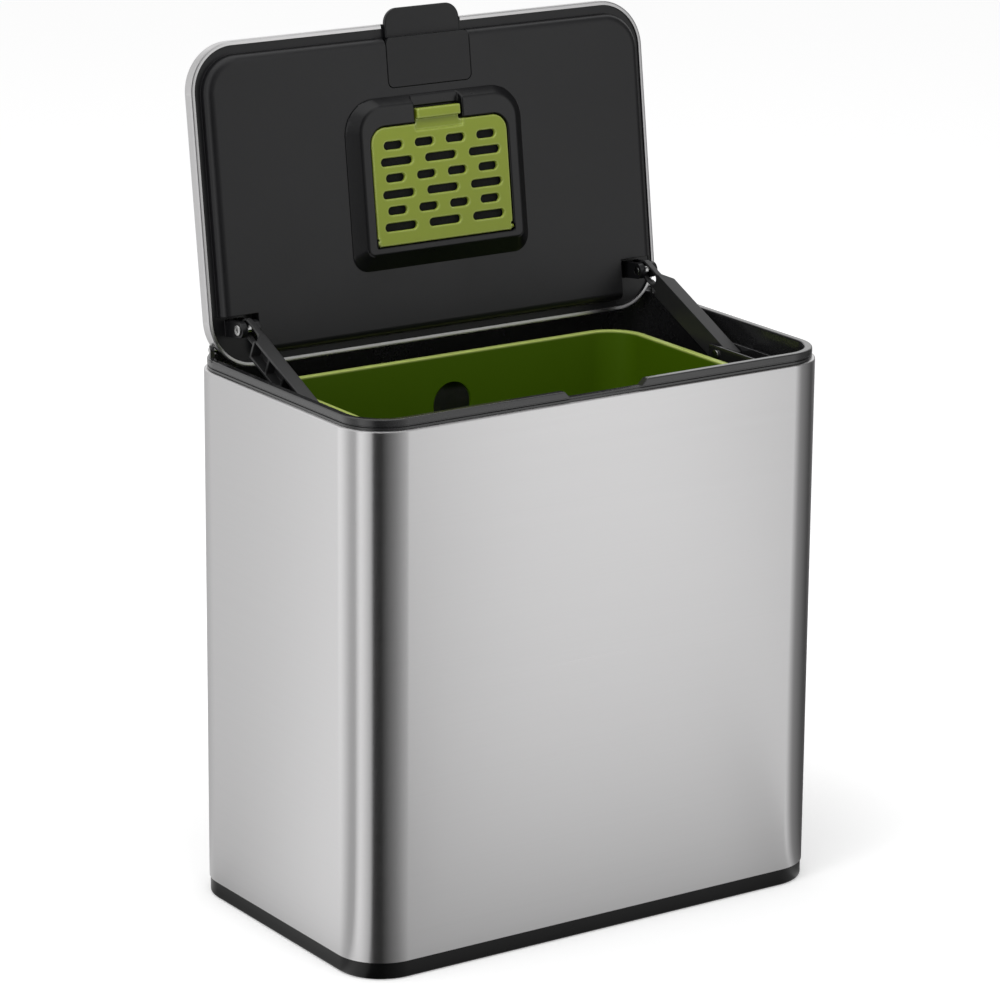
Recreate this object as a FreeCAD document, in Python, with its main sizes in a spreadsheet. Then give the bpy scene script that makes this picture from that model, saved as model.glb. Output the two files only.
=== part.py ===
"""Countertop compost bin: steel body, swing-up lid with a carbon filter, and a lift-out bucket.

Millimetres. The origin is the middle of the footprint on the worktop, +X to the right, the front
faces -Y and +Z is up. The lid is drawn shut and then turned open about its rear pins.
"""
import FreeCAD, Part
import math
import os
import Sketcher

doc = FreeCAD.newDocument("compost_bin")
dims = doc.addObject("Spreadsheet::Sheet", "dims")

SIZES = (
    # Body
    ("body_width", 270.0, "steel body, side to side"),
    ("body_depth", 162.0, "steel body, front to back"),
    ("corner_radius", 24.0, "upright corners of the steel body"),
    ("shell_height", 259.4, "height of the steel"),
    ("shell_wall", 0.8, "thickness of the steel sheet"),
    ("shell_lip", 2.0, "turned-in top lip, from the outer face"),
    ("shell_edge", 0.6, "rounded top edge of the steel"),
    ("fit_gap", 0.15, "play between pieces that are fitted and stay put"),
    ("pin_gap", 0.05, "radial play of a pin in a part that turns on it"),
    ("press_gap", 0.02, "radial play of a pin in the part that holds it"),
    # Base
    ("base_height", 8.7, "band that shows below the steel"),
    ("base_inset", 0.5, "band set in from the steel's outer face"),
    ("base_wall", 3.6, "wall of the base"),
    ("base_floor", 3.0, "floor of the base"),
    ("base_upstand", 12.0, "wall that stands up inside the steel"),
    ("base_edge", 1.5, "rounded lower edge of the base"),
    ("foot_diameter", 16.0, "rubber pads inlaid in the underside"),
    ("foot_thickness", 1.4, "thickness of those pads"),
    ("foot_inset", 27.0, "middle of the pads, in from the body's sides"),
    # Top frame
    ("frame_height", 5.4, "rim above the steel"),
    ("frame_inset", 1.5, "rim set in from the steel's outer face"),
    ("frame_rim", 4.0, "top face of the rim at the front and sides"),
    ("frame_rear_rim", 2.5, "top face of the rim at the back"),
    ("frame_edge", 1.0, "rounded top edge of the rim"),
    ("skirt_depth", 30.0, "skirt inside the steel"),
    ("groove_height", 0.8, "groove round the rim's outer face"),
    ("groove_depth", 0.9, "depth of that groove"),
    ("groove_rise", 1.3, "groove above the steel"),
    ("notch_width", 41.0, "front notch at its bottom"),
    ("notch_slope", 3.3, "lean of the notch's ends, each"),
    ("notch_depth", 3.3, "depth of the front notch"),
    # Lid hinge
    ("hinge_setback", 15.5, "lid pins, in front of the body's back"),
    ("hinge_rise", 3.4, "lid pins, above the rim"),
    ("hinge_pin_diameter", 3.0, "lid pins"),
    ("hinge_pin_length", 15.6, "lid pins"),
    ("lug_inset", 5.8, "inner face of the rim's lugs, in from the body's sides"),
    ("lug_width", 2.6, "those lugs, side to side"),
    ("lug_radius", 2.5, "lug round the lid pin"),
    ("pin_setback", 1.9, "outer end of the lid pins, in from the edge of the rim's top"),
    ("lid_open_angle", 97.6, "the lid's swing"),
    # Lid pan
    ("lid_side_setback", 3.5, "lid, in from the body's sides"),
    ("lid_front_setback", 0.3, "lid, in from the body's front"),
    ("lid_tail", 10.5, "lid behind its pins"),
    ("lid_gap", 0.5, "shut lid above the rim"),
    ("lid_height", 8.0, "thickness of the lid"),
    ("lid_wall", 0.8, "steel of the lid"),
    ("lid_lip", 2.0, "folded hem, from the lid's outer face"),
    ("lid_corner", 24.0, "corners of the lid"),
    ("lid_edge", 3.0, "rounded outer edge of the lid"),
    # Lid liner
    ("liner_wall", 2.0, "wall of the liner"),
    ("liner_flange", 1.7, "flange inside the hem"),
    ("panel_drop", 5.4, "plug panel below the hem"),
    ("panel_inset", 5.5, "plug panel, in from the lid's sides and back"),
    ("panel_front_inset", 6.4, "plug panel, in from the lid's front"),
    ("panel_edge", 4.5, "rounded edge of the plug panel"),
    ("boss_width", 5.5, "boss round the lid pin inside the lid"),
    ("boss_radius", 3.6, "half height of that boss"),
    # Arms
    ("arm_inset", 12.3, "outer face of the arms, in from the body's sides"),
    ("arm_width", 7.3, "arm, side to side"),
    ("arm_web", 2.0, "web of the arm's channel"),
    ("arm_flange", 1.6, "flanges, end wall and ribs of the arm"),
    ("arm_above", 4.7, "arm above the line of its pins"),
    ("arm_below", 6.8, "arm below the line of its pins"),
    ("arm_heel", 6.0, "arm beyond its lower pin"),
    ("rib_pitch", 14.0, "ribs in the arm"),
    ("rib_inset", 0.6, "ribs below the flanges' edges"),
    ("tongue_width", 3.0, "thin upper end of the arm"),
    ("tongue_wall", 1.2, "tongue left round the rivet's slot"),
    ("channel_gap", 1.5, "gap between the ribbed channel and the lid's ears"),
    ("flange_tip", 2.0, "upper flange beyond the channel's end, along the tongue"),
    ("flange_cut", 2.5, "upper flange short of the channel's end, along its outer edge"),
    ("arm_pin_diameter", 4.0, "pins at both ends of the arm"),
    ("arm_pin_head", 0.9, "head of those pins"),
    ("head_margin", 0.6, "head of a pin beyond its shank"),
    ("pin_bore", 2.0, "hollow end of the rivets in the lid"),
    ("pivot_ahead", 9.7, "arm's pin in the lid, in front of the lid's pins"),
    ("pivot_drop", 14.3, "arm's pin in the lid, below the lid's pins when shut"),
    ("arm_foot_ahead", 14.5, "arm's lower pin, in front of the body's middle"),
    ("arm_foot_depth", 14.5, "arm's lower pin below the rim's top"),
    ("side_play", 0.5, "gap beside a part that turns"),
    # Ears on the liner
    ("ear_wall", 3.2, "each ear"),
    ("ear_radius", 4.0, "ear round the pin"),
    ("recess_margin", 4.8, "recess round the ears"),
    ("recess_length", 6.0, "recess in front of the arm's pin"),
    ("recess_floor", 1.2, "liner left over the recess"),
    # Arm brackets
    ("bracket_wall", 2.2, "plates of the bracket"),
    ("bracket_above", 4.5, "plates above the arm's lower pin"),
    ("bracket_below", 12.0, "plates below the arm's lower pin"),
    ("bracket_behind", 6.5, "plates behind the arm's lower pin"),
    ("bracket_front_gap", 20.0, "plates behind the front of the frame's opening"),
    ("screw_diameter", 2.8, "bracket screws"),
    ("screw_head_diameter", 5.2, "their heads"),
    ("screw_head", 1.4, "thickness of the heads"),
    ("screw_length", 4.8, "their shanks"),
    ("screw_margin", 8.0, "screws, in from the bracket's ends"),
    ("screw_drop", 6.4, "screws below the arm's lower pin"),
    # Finger tab
    ("tab_width", 43.2, "finger tab"),
    ("tab_overhang", 7.5, "tab beyond the lid's front"),
    ("tab_thickness", 2.4, "tab"),
    ("tab_corner", 7.5, "corners of the tab"),
    ("tab_edge", 0.7, "rounded outer edges of the tab"),
    ("tab_gap", 1.4, "cut in the lid beside the tab, each side"),
    ("inlay_width", 48.0, "inlaid plate of the tab"),
    ("inlay_length", 24.2, "inlaid plate, front to back"),
    ("inlay_corner", 3.0, "corners of the inlaid plate"),
    ("inlay_gap", 0.25, "gap round the inlaid plate"),
    ("inlay_ledge", 3.0, "hidden ledge round the inlaid plate"),
    ("inlay_back", 1.5, "thickness of that ledge"),
    # Filter
    ("filter_offset", 0.55, "middle of the filter door, in front of the lid's middle"),
    ("door_width", 79.0, "filter door"),
    ("door_length", 57.8, "filter door, front to back"),
    ("door_thickness", 2.2, "filter door"),
    ("door_corner", 8.0, "front corners of the filter door"),
    ("door_rear_corner", 1.0, "rear corners of the filter door"),
    ("door_gap", 0.5, "gap round the filter door"),
    ("door_sink", 0.4, "door below the housing's face"),
    ("door_shoulder", 0.9, "step in the door's sides at its hinge"),
    ("shoulder_length", 4.0, "length of that step"),
    ("stub_diameter", 2.0, "hinge stubs of the door"),
    ("stub_length", 1.9, "hinge stubs, beyond the door's sides"),
    ("stub_inset", 1.6, "hinge stubs, in from the door's rear edge"),
    ("slot_width", 4.0, "air slots"),
    ("slot_pitch", 7.96, "rows of slots"),
    ("slot_first", 9.1, "first row, in from the door's front edge"),
    ("short_slot", 11.0, "short slots"),
    ("short_pitch", 18.0, "short slots, one to the next"),
    ("long_slot", 18.3, "long slots"),
    ("long_pitch", 25.6, "long slots, one to the next"),
    ("latch_width", 25.0, "finger latch of the door"),
    ("latch_neck", 1.4, "thin neck of the latch"),
    ("latch_lip", 5.0, "raised lip of the latch"),
    ("latch_reach", 7.4, "latch beyond the door's front edge"),
    ("latch_rise", 0.9, "lip above the door's face"),
    ("latch_gap", 1.4, "gap beside the latch"),
    ("latch_end_gap", 0.6, "gap in front of the latch"),
    ("latch_bridge", 1.6, "housing left across its front under the latch"),
    ("latch_root", 3.3, "cut in the door's front edge over the neck"),
    ("housing_height", 5.6, "filter housing on the panel"),
    ("housing_side", 6.5, "top face of the housing beside the door"),
    ("housing_front", 10.7, "top face of the housing in front of the door"),
    ("housing_rear", 4.5, "top face of the housing behind the door"),
    ("flare_side", 5.8, "lean of the housing's sides"),
    ("flare_front", 3.8, "lean of the housing's front"),
    ("flare_rear", 7.8, "lean of the housing's back"),
    ("housing_corner", 13.0, "front corners of the housing's top face"),
    ("housing_foot_corner", 18.0, "front corners of the housing's foot"),
    ("housing_rear_corner", 4.0, "rear corners of the housing's top face"),
    ("housing_foot_rear_corner", 9.0, "rear corners of the housing's foot"),
    ("housing_edge", 0.8, "broken edge of the housing's top face"),
    ("pad_margin", 1.5, "carbon pad, in from the door's sides"),
    ("pad_rear_margin", 3.4, "carbon pad, in from the door's hinge edge"),
    ("pad_clear", 0.8, "gap between the door and the carbon pad"),
    ("pad_thickness", 9.6, "carbon pad"),
    ("pad_corner", 4.0, "corners of the carbon pad"),
    ("well_gap", 0.5, "gap round the carbon pad"),
    ("well_back", 1.4, "back of the filter's well"),
    ("well_ledge", 6.0, "bars of that back"),
    # Bucket
    ("bucket_side_gap", 6.5, "bucket's rim, in from the heads of the arms' pins"),
    ("bucket_front", 11.0, "bucket's rim, in from the body's front"),
    ("bucket_back", 25.0, "bucket's rim, in from the body's back"),
    ("bucket_drop", 13.2, "bucket's rim below the top of the rim"),
    ("bucket_corner", 22.0, "corners of the bucket's rim"),
    ("bucket_wall", 2.0, "wall of the bucket"),
    ("bucket_taper", 7.0, "bucket narrower at its bottom, each side"),
    ("bucket_lip", 1.6, "lip round the bucket's rim"),
    ("bucket_lip_height", 3.0, "height of that lip"),
    ("bucket_sole", 8.0, "rounded bottom edge of the bucket"),
    ("bucket_seat", 0.2, "gap below the standing bucket"),
    ("hole_diameter", 22.0, "round hole in the bucket's back wall"),
    ("hole_drop", 25.3, "middle of that hole below the bucket's rim"),
)

for row, (alias, number, meaning) in enumerate(SIZES, start=1):
    dims.set(f"A{row}", meaning)
    dims.set(f"B{row}", str(number))
    dims.setAlias(f"B{row}", alias)
doc.recompute()


def value(expression):
    """Return an expression of the sheet's values as a number."""
    return float(dims.evalExpression(expression))


def bind(item, **expressions):
    """Tie properties of an item to expressions; a double underscore stands for a dot."""
    for name, expression in expressions.items():
        item.setExpression(name.replace("__", "."), expression)


def total(*terms):
    """Add expressions."""
    return "(" + " + ".join(terms) + ")"


def less(first, *terms):
    """Take expressions from the first one."""
    return "(" + " - ".join((first,) + terms) + ")"


def twice(expression):
    return f"2 * ({expression})"


def half(expression):
    return f"({expression}) / 2"


# Heights and edges that several pieces share
SHELL_TOP = "(dims.base_height + dims.shell_height)"
RIM_TOP = f"({SHELL_TOP} + dims.frame_height)"
SIDE = "(dims.body_width / 2)"
BACK = "(dims.body_depth / 2)"
HINGE_Y = f"({BACK} - dims.hinge_setback)"
HINGE_Z = f"({RIM_TOP} + dims.hinge_rise)"
HEM = f"({RIM_TOP} + dims.lid_gap)"
LID_WIDTH = "(dims.body_width - 2 * dims.lid_side_setback)"
LID_BACK = f"({HINGE_Y} + dims.lid_tail)"
LID_FRONT = f"(-{BACK} + dims.lid_front_setback)"
PANEL = f"({HEM} - dims.panel_drop)"
PANEL_FRONT = f"({LID_FRONT} + dims.panel_front_inset)"
PIVOT_Y = f"({HINGE_Y} - dims.pivot_ahead)"
PIVOT_Z = f"({HINGE_Z} - dims.pivot_drop)"
FOOT_Y = "(-dims.arm_foot_ahead)"
FOOT_Z = f"({RIM_TOP} - dims.arm_foot_depth)"
ARM_OUTER = f"({SIDE} - dims.arm_inset)"
ARM_INNER = f"({ARM_OUTER} - dims.arm_width)"

subparts = []


def new_piece(label):
    """Start a piece that is one solid."""
    piece = doc.addObject("PartDesign::Body", label)
    piece.Label = label
    subparts.append(piece)
    return piece


def mirrored(label, piece):
    """The left-hand twin of a right-hand piece."""
    twin = doc.addObject("Part::Mirroring", label)
    twin.Label = label
    twin.Source = piece
    twin.Normal = (1, 0, 0)
    subparts.append(twin)
    return twin


def sketch_at(piece, name, z, x="0", y="0"):
    """A level sketch whose own origin is at x, y, z."""
    sketch = piece.newObject("Sketcher::SketchObject", name)
    plane = next(item for item in piece.Origin.OriginFeatures if item.Role == "XY_Plane")
    sketch.AttachmentSupport = (plane, [""])
    sketch.MapMode = "FlatFace"
    bind(sketch, AttachmentOffset__Base__x=x, AttachmentOffset__Base__y=y, AttachmentOffset__Base__z=z)
    return sketch


def rounded_outline(sketch, name, width, depth, front_radius, rear_radius=None):
    """Draw a rounded rectangle about the sketch's origin, with sizes tied to the sheet."""
    rear_radius = rear_radius or front_radius
    right, back = value(width) / 2, value(depth) / 2
    front_r, rear_r = value(front_radius), value(rear_radius)
    corners = (
        (right - front_r, -back + front_r, front_r, -90),
        (right - rear_r, back - rear_r, rear_r, 0),
        (-right + rear_r, back - rear_r, rear_r, 90),
        (-right + front_r, -back + front_r, front_r, 180),
    )
    up = FreeCAD.Vector(0, 0, 1)
    arcs = []
    for x, y, radius, start in corners:
        circle = Part.Circle(FreeCAD.Vector(x, y, 0), up, radius)
        arc = Part.ArcOfCircle(circle, math.radians(start), math.radians(start + 90))
        arcs.append(sketch.addGeometry(arc))
    lines = []
    for index, arc in enumerate(arcs):
        following = arcs[(index + 1) % 4]
        line = Part.LineSegment(sketch.getPoint(arc, 2), sketch.getPoint(following, 1))
        lines.append(sketch.addGeometry(line))
        sketch.addConstraint(Sketcher.Constraint("Tangent", arc, 2, lines[-1], 1))
        sketch.addConstraint(Sketcher.Constraint("Tangent", lines[-1], 2, following, 1))
    side, rear, other_side, front = lines
    for line in (side, other_side):
        sketch.addConstraint(Sketcher.Constraint("Vertical", line))
    for line in (rear, front):
        sketch.addConstraint(Sketcher.Constraint("Horizontal", line))
    sketch.addConstraint(Sketcher.Constraint("Equal", arcs[0], arcs[3]))
    sketch.addConstraint(Sketcher.Constraint("Equal", arcs[1], arcs[2]))
    sizes = (
        ("front_radius", Sketcher.Constraint("Radius", arcs[0], front_r), front_radius),
        ("rear_radius", Sketcher.Constraint("Radius", arcs[1], rear_r), rear_radius),
        ("width", Sketcher.Constraint("DistanceX", other_side, 1, side, 1, 2 * right), width),
        ("depth", Sketcher.Constraint("DistanceY", front, 1, rear, 1, 2 * back), depth),
        ("half_width", Sketcher.Constraint("DistanceX", -1, 1, side, 1, right), half(width)),
        ("half_depth", Sketcher.Constraint("DistanceY", -1, 1, rear, 1, back), half(depth)),
    )
    for size, constraint, expression in sizes:
        index = sketch.addConstraint(constraint)
        sketch.renameConstraint(index, f"{name}_{size}")
        sketch.setExpression(f"Constraints.{name}_{size}", expression)


def slot_outline(sketch, name, length, width):
    """Draw a slot with round ends about the sketch's origin."""
    radius = value(width) / 2
    reach = value(length) / 2 - radius
    up = FreeCAD.Vector(0, 0, 1)
    ends = []
    for x, start in ((reach, -90), (-reach, 90)):
        circle = Part.Circle(FreeCAD.Vector(x, 0, 0), up, radius)
        arc = Part.ArcOfCircle(circle, math.radians(start), math.radians(start + 180))
        ends.append(sketch.addGeometry(arc))
    for arc, following in (ends, ends[::-1]):
        edge = Part.LineSegment(sketch.getPoint(arc, 2), sketch.getPoint(following, 1))
        line = sketch.addGeometry(edge)
        sketch.addConstraint(Sketcher.Constraint("Tangent", arc, 2, line, 1))
        sketch.addConstraint(Sketcher.Constraint("Tangent", line, 2, following, 1))
    sketch.addConstraint(Sketcher.Constraint("Symmetric", ends[0], 3, ends[1], 3, -1, 1))
    sketch.addConstraint(Sketcher.Constraint("PointOnObject", ends[0], 3, -1))
    index = sketch.addConstraint(Sketcher.Constraint("Radius", ends[0], radius))
    sketch.renameConstraint(index, f"{name}_radius")
    sketch.setExpression(f"Constraints.{name}_radius", half(width))
    index = sketch.addConstraint(Sketcher.Constraint("DistanceX", -1, 1, ends[0], 3, reach))
    sketch.renameConstraint(index, f"{name}_reach")
    sketch.setExpression(f"Constraints.{name}_reach", half(less(length, width)))


def pad(piece, sketch, height):
    """Raise a solid from a sketch."""
    feature = piece.newObject("PartDesign::Pad", f"{sketch.Name}_pad")
    feature.Profile = sketch
    bind(feature, Length=height)
    doc.recompute()
    return feature


def pocket(piece, sketch, height):
    """Cut upwards from a sketch, and make sure that the cut takes something away."""
    before = piece.Shape.Volume
    feature = piece.newObject("PartDesign::Pocket", f"{sketch.Name}_pocket")
    feature.Profile = sketch
    feature.Reversed = True
    bind(feature, Length=height)
    doc.recompute()
    if piece.Shape.Volume >= before:
        raise RuntimeError(f"{feature.Name} cuts nothing")
    return feature


def plate(piece, name, width, depth, radius, z, height, y="0", rear_radius=None):
    """Add a rounded plate."""
    sketch = sketch_at(piece, name, z, y=y)
    rounded_outline(sketch, "outline", width, depth, radius, rear_radius)
    return pad(piece, sketch, height)


def hollow(piece, name, width, depth, radius, z, height, y="0", rear_radius=None):
    """Cut a rounded hollow."""
    sketch = sketch_at(piece, name, z, y=y)
    rounded_outline(sketch, "outline", width, depth, radius, rear_radius)
    return pocket(piece, sketch, height)


def block(piece, name, x, y, z, cut=False):
    """Add or cut a box between pairs of low and high expressions."""
    kind = "SubtractiveBox" if cut else "AdditiveBox"
    feature = piece.newObject(f"PartDesign::{kind}", name)
    bind(feature, Length=less(x[1], x[0]), Width=less(y[1], y[0]), Height=less(z[1], z[0]))
    bind(feature, Placement__Base__x=x[0], Placement__Base__y=y[0], Placement__Base__z=z[0])
    doc.recompute()
    return feature


AXES = {"x": ((0, 1, 0), 90), "y": ((1, 0, 0), -90)}


def rod(piece, name, axis, radius, length, x, y, z, cut=False):
    """Add or cut a cylinder that starts at x, y, z and runs along an axis."""
    kind = "SubtractiveCylinder" if cut else "AdditiveCylinder"
    feature = piece.newObject(f"PartDesign::{kind}", name)
    direction, angle = AXES[axis]
    turn = FreeCAD.Rotation(FreeCAD.Vector(*direction), angle)
    feature.Placement = FreeCAD.Placement(FreeCAD.Vector(), turn)
    bind(feature, Radius=radius, Height=length)
    bind(feature, Placement__Base__x=x, Placement__Base__y=y, Placement__Base__z=z)
    doc.recompute()
    return feature


def soften(piece, name, radius, chosen):
    """Round the edges of a piece that a test picks."""
    base = piece.Tip
    names = [f"Edge{i}" for i, edge in enumerate(base.Shape.Edges, start=1) if chosen(edge.BoundBox)]
    feature = piece.newObject("PartDesign::Fillet", name)
    feature.Base = (base, names)
    bind(feature, Radius=radius)
    doc.recompute()
    return feature


NEAR = 1e-3


def level(z):
    """Pick the edges that lie at one height."""
    height = value(z)
    return lambda box: abs(box.ZMin - height) < NEAR and abs(box.ZMax - height) < NEAR


def outer_level(z, width, depth, margin="0.01"):
    """Pick the edges at one height on the outline of a plate about the middle of the body."""
    flat = level(z)
    side, back = value(half(width)) - value(margin), value(half(depth)) - value(margin)

    def chosen(box):
        reach = max(abs(box.XMin), abs(box.XMax)) > side or max(abs(box.YMin), abs(box.YMax)) > back
        return flat(box) and reach

    return chosen


def inset(size, amount):
    """A width or depth that is set in by an amount on both sides."""
    return f"({size} - 2 * ({amount}))"


# Base tray: a band, a wall that locates the steel, and a floor with sockets for the rubber pads
base = new_piece("base_tray")
BAND_WIDTH = inset("dims.body_width", "dims.base_inset")
BAND_DEPTH = inset("dims.body_depth", "dims.base_inset")
BAND_RADIUS = "(dims.corner_radius - dims.base_inset)"
plate(base, "band", BAND_WIDTH, BAND_DEPTH, BAND_RADIUS, "0", "dims.base_height")
WALL_INSET = "(dims.shell_wall + dims.fit_gap)"
plate(base, "upstand", inset("dims.body_width", WALL_INSET), inset("dims.body_depth", WALL_INSET),
      f"(dims.corner_radius - {WALL_INSET})", "dims.base_height", "dims.base_upstand")
WELL_INSET = "(dims.base_inset + dims.base_wall)"
well = (inset("dims.body_width", WELL_INSET), inset("dims.body_depth", WELL_INSET),
        f"(dims.corner_radius - {WELL_INSET})")
hollow(base, "tray", *well, "dims.base_floor", "(dims.base_height + dims.base_upstand - dims.base_floor)")
soften(base, "base_rounding", "dims.base_edge", outer_level("0", BAND_WIDTH, BAND_DEPTH))

# Four rubber pads inlaid in the underside of the base
pads = []
for x_sign in (-1, 1):
    for y_sign in (-1, 1):
        foot_x = f"({x_sign} * ({SIDE} - dims.foot_inset))"
        foot_y = f"({y_sign} * ({BACK} - dims.foot_inset))"
        socket = base.newObject("PartDesign::SubtractiveCylinder", "foot_socket")
        bind(socket, Radius="dims.foot_diameter / 2 + dims.press_gap", Height="dims.foot_thickness",
             Placement__Base__x=foot_x, Placement__Base__y=foot_y)
        disc = doc.addObject("Part::Cylinder", "foot_disc")
        bind(disc, Radius="dims.foot_diameter / 2", Height="dims.foot_thickness",
             Placement__Base__x=foot_x, Placement__Base__y=foot_y)
        pads.append(disc)
anti_slip_pads = doc.addObject("Part::Compound", "anti_slip_pads")
anti_slip_pads.Links = pads
subparts.append(anti_slip_pads)

# Steel sleeve with its turned-in top lip
shell = new_piece("body_shell")
plate(shell, "sleeve", "dims.body_width", "dims.body_depth", "dims.corner_radius", "dims.base_height",
      "dims.shell_height")
hollow(shell, "inside", inset("dims.body_width", "dims.shell_wall"),
       inset("dims.body_depth", "dims.shell_wall"), "(dims.corner_radius - dims.shell_wall)",
       "dims.base_height", "(dims.shell_height - dims.shell_wall)")
hollow(shell, "mouth", inset("dims.body_width", "dims.shell_lip"),
       inset("dims.body_depth", "dims.shell_lip"), "(dims.corner_radius - dims.shell_lip)",
       f"({SHELL_TOP} - dims.shell_wall)", "dims.shell_wall")
soften(shell, "shell_rounding", "dims.shell_edge",
       outer_level(SHELL_TOP, "dims.body_width", "dims.body_depth"))

# Black top frame: rim, skirt, opening, outer groove, front notch and the lid's two lugs
frame = new_piece("top_frame")
RIM_WIDTH = inset("dims.body_width", "dims.frame_inset")
RIM_DEPTH = inset("dims.body_depth", "dims.frame_inset")
RIM_RADIUS = "(dims.corner_radius - dims.frame_inset)"
plate(frame, "rim", RIM_WIDTH, RIM_DEPTH, RIM_RADIUS, SHELL_TOP, "dims.frame_height")
SKIRT_INSET = "(dims.shell_lip + dims.fit_gap)"
SKIRT_FOOT = f"({SHELL_TOP} - dims.skirt_depth)"
plate(frame, "skirt", inset("dims.body_width", SKIRT_INSET), inset("dims.body_depth", SKIRT_INSET),
      f"(dims.corner_radius - {SKIRT_INSET})", SKIRT_FOOT, "dims.skirt_depth")
OPENING_INSET = "(dims.frame_inset + dims.frame_rim)"
OPENING_FRONT = f"(-{BACK} + {OPENING_INSET})"
OPENING_BACK = f"({BACK} - dims.frame_inset - dims.frame_rear_rim)"
OPENING_SIDE = f"({SIDE} - {OPENING_INSET})"
hollow(frame, "opening", twice(OPENING_SIDE), less(OPENING_BACK, OPENING_FRONT),
       f"(dims.corner_radius - {OPENING_INSET})", SKIRT_FOOT, "(dims.skirt_depth + dims.frame_height)",
       y=half(total(OPENING_BACK, OPENING_FRONT)))
soften(frame, "rim_rounding", "dims.frame_edge", level(RIM_TOP))
ring = sketch_at(frame, "groove", f"({SHELL_TOP} + dims.groove_rise)")
rounded_outline(ring, "outer", "dims.body_width", "dims.body_depth", "dims.corner_radius")
rounded_outline(ring, "inner", inset(RIM_WIDTH, "dims.groove_depth"), inset(RIM_DEPTH, "dims.groove_depth"),
                f"({RIM_RADIUS} - dims.groove_depth)")
pocket(frame, ring, "dims.groove_height")

NOTCH_HALF = "dims.notch_width / 2"
notch = frame.newObject("PartDesign::SubtractiveWedge", "front_notch")
bind(notch, Xmin=f"-{NOTCH_HALF}", Xmax=NOTCH_HALF, X2min=f"-{NOTCH_HALF} - dims.notch_slope",
     X2max=f"{NOTCH_HALF} + dims.notch_slope", Ymin="0", Ymax="dims.notch_depth", Zmin="0",
     Zmax=twice("dims.frame_rim"), Z2min="0", Z2max=twice("dims.frame_rim"))
notch.Placement = FreeCAD.Placement(FreeCAD.Vector(), FreeCAD.Rotation(FreeCAD.Vector(1, 0, 0), 90))
bind(notch, Placement__Base__y=f"({OPENING_FRONT} + dims.frame_rim / 2)",
     Placement__Base__z=f"({RIM_TOP} - dims.notch_depth)")
doc.recompute()

LUG_INNER = f"({SIDE} - dims.lug_inset)"
LUG_WIDTH = "dims.lug_width"
lugs = doc.addObject("PartDesign::Body", "hinge_lugs")
for side, start in (("right", LUG_INNER), ("left", f"-({LUG_INNER} + {LUG_WIDTH})")):
    block(lugs, f"{side}_lug_foot", (start, total(start, LUG_WIDTH)),
          (f"({HINGE_Y} - dims.lug_radius)", f"({HINGE_Y} + dims.lug_radius)"),
          (f"({RIM_TOP} - dims.frame_edge)", HINGE_Z))
    rod(lugs, f"{side}_lug_eye", "x", "dims.lug_radius", LUG_WIDTH, start, HINGE_Y, HINGE_Z)
trim = sketch_at(lugs, "lug_trim", f"({RIM_TOP} - 2 * dims.frame_edge)")
rounded_outline(trim, "outer", "(dims.body_width + dims.frame_rim)", "(dims.body_depth + dims.frame_rim)",
                "dims.corner_radius")
rounded_outline(trim, "inner", inset(RIM_WIDTH, "dims.frame_edge"), inset(RIM_DEPTH, "dims.frame_edge"),
                f"({RIM_RADIUS} - dims.frame_edge)")
pocket(lugs, trim, "(3 * dims.frame_edge + dims.hinge_rise + dims.lug_radius)")
lug_join = frame.newObject("PartDesign::Boolean", "lug_join")
lug_join.setObjects([lugs])
lug_join.Type = "Fuse"
doc.recompute()
rod(frame, "lug_bore", "x", "dims.hinge_pin_diameter / 2 + dims.press_gap", "dims.body_width",
    f"-{SIDE}", HINGE_Y, HINGE_Z, cut=True)
PIN_OUTER = f"({SIDE} - dims.frame_inset - dims.frame_edge - dims.pin_setback)"
BRACKET_FRONT = f"({OPENING_FRONT} + dims.bracket_front_gap)"
SCREW_Z = f"({FOOT_Z} - dims.screw_drop)"
SCREW_ROWS = (f"({FOOT_Y} + dims.bracket_behind - dims.screw_margin)",
              f"({BRACKET_FRONT} + dims.screw_margin)")
SCREW_SEAT = f"({OPENING_SIDE} - dims.fit_gap - dims.bracket_wall)"
SCREW_END = f"({SCREW_SEAT} + dims.screw_length)"
for index, screw_y in enumerate(SCREW_ROWS):
    rod(frame, f"screw_bore_{index}", "x", "dims.screw_diameter / 2 + dims.press_gap", twice(SCREW_END),
        f"-{SCREW_END}", screw_y, SCREW_Z, cut=True)

# The lid's two pins, held in the lugs
hinge_pin = new_piece("right_hinge_pin")
rod(hinge_pin, "shank", "x", "dims.hinge_pin_diameter / 2", "dims.hinge_pin_length",
    f"({PIN_OUTER} - dims.hinge_pin_length)", HINGE_Y, HINGE_Z)
mirrored("left_hinge_pin", hinge_pin)

# Arm brackets: two plates and a floor, with a flange that is screwed to the skirt
bracket = new_piece("right_arm_bracket")
PLATES_Y = (BRACKET_FRONT, f"({FOOT_Y} + dims.bracket_behind)")
PLATE_FOOT = f"({FOOT_Z} - dims.bracket_below)"
PLATES_Z = (PLATE_FOOT, f"({FOOT_Z} + dims.bracket_above)")
PLATE_INNER = f"({ARM_INNER} - dims.side_play - dims.bracket_wall)"
PLATE_OUTER = f"({ARM_OUTER} + dims.side_play + dims.bracket_wall)"
FLANGE_OUTER = f"({OPENING_SIDE} - dims.fit_gap)"
block(bracket, "floor", (PLATE_INNER, FLANGE_OUTER), PLATES_Y,
      (PLATE_FOOT, f"({PLATE_FOOT} + dims.bracket_wall)"))
block(bracket, "inner_plate", (PLATE_INNER, f"({PLATE_INNER} + dims.bracket_wall)"), PLATES_Y, PLATES_Z)
block(bracket, "outer_plate", (f"({PLATE_OUTER} - dims.bracket_wall)", PLATE_OUTER), PLATES_Y, PLATES_Z)
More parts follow.
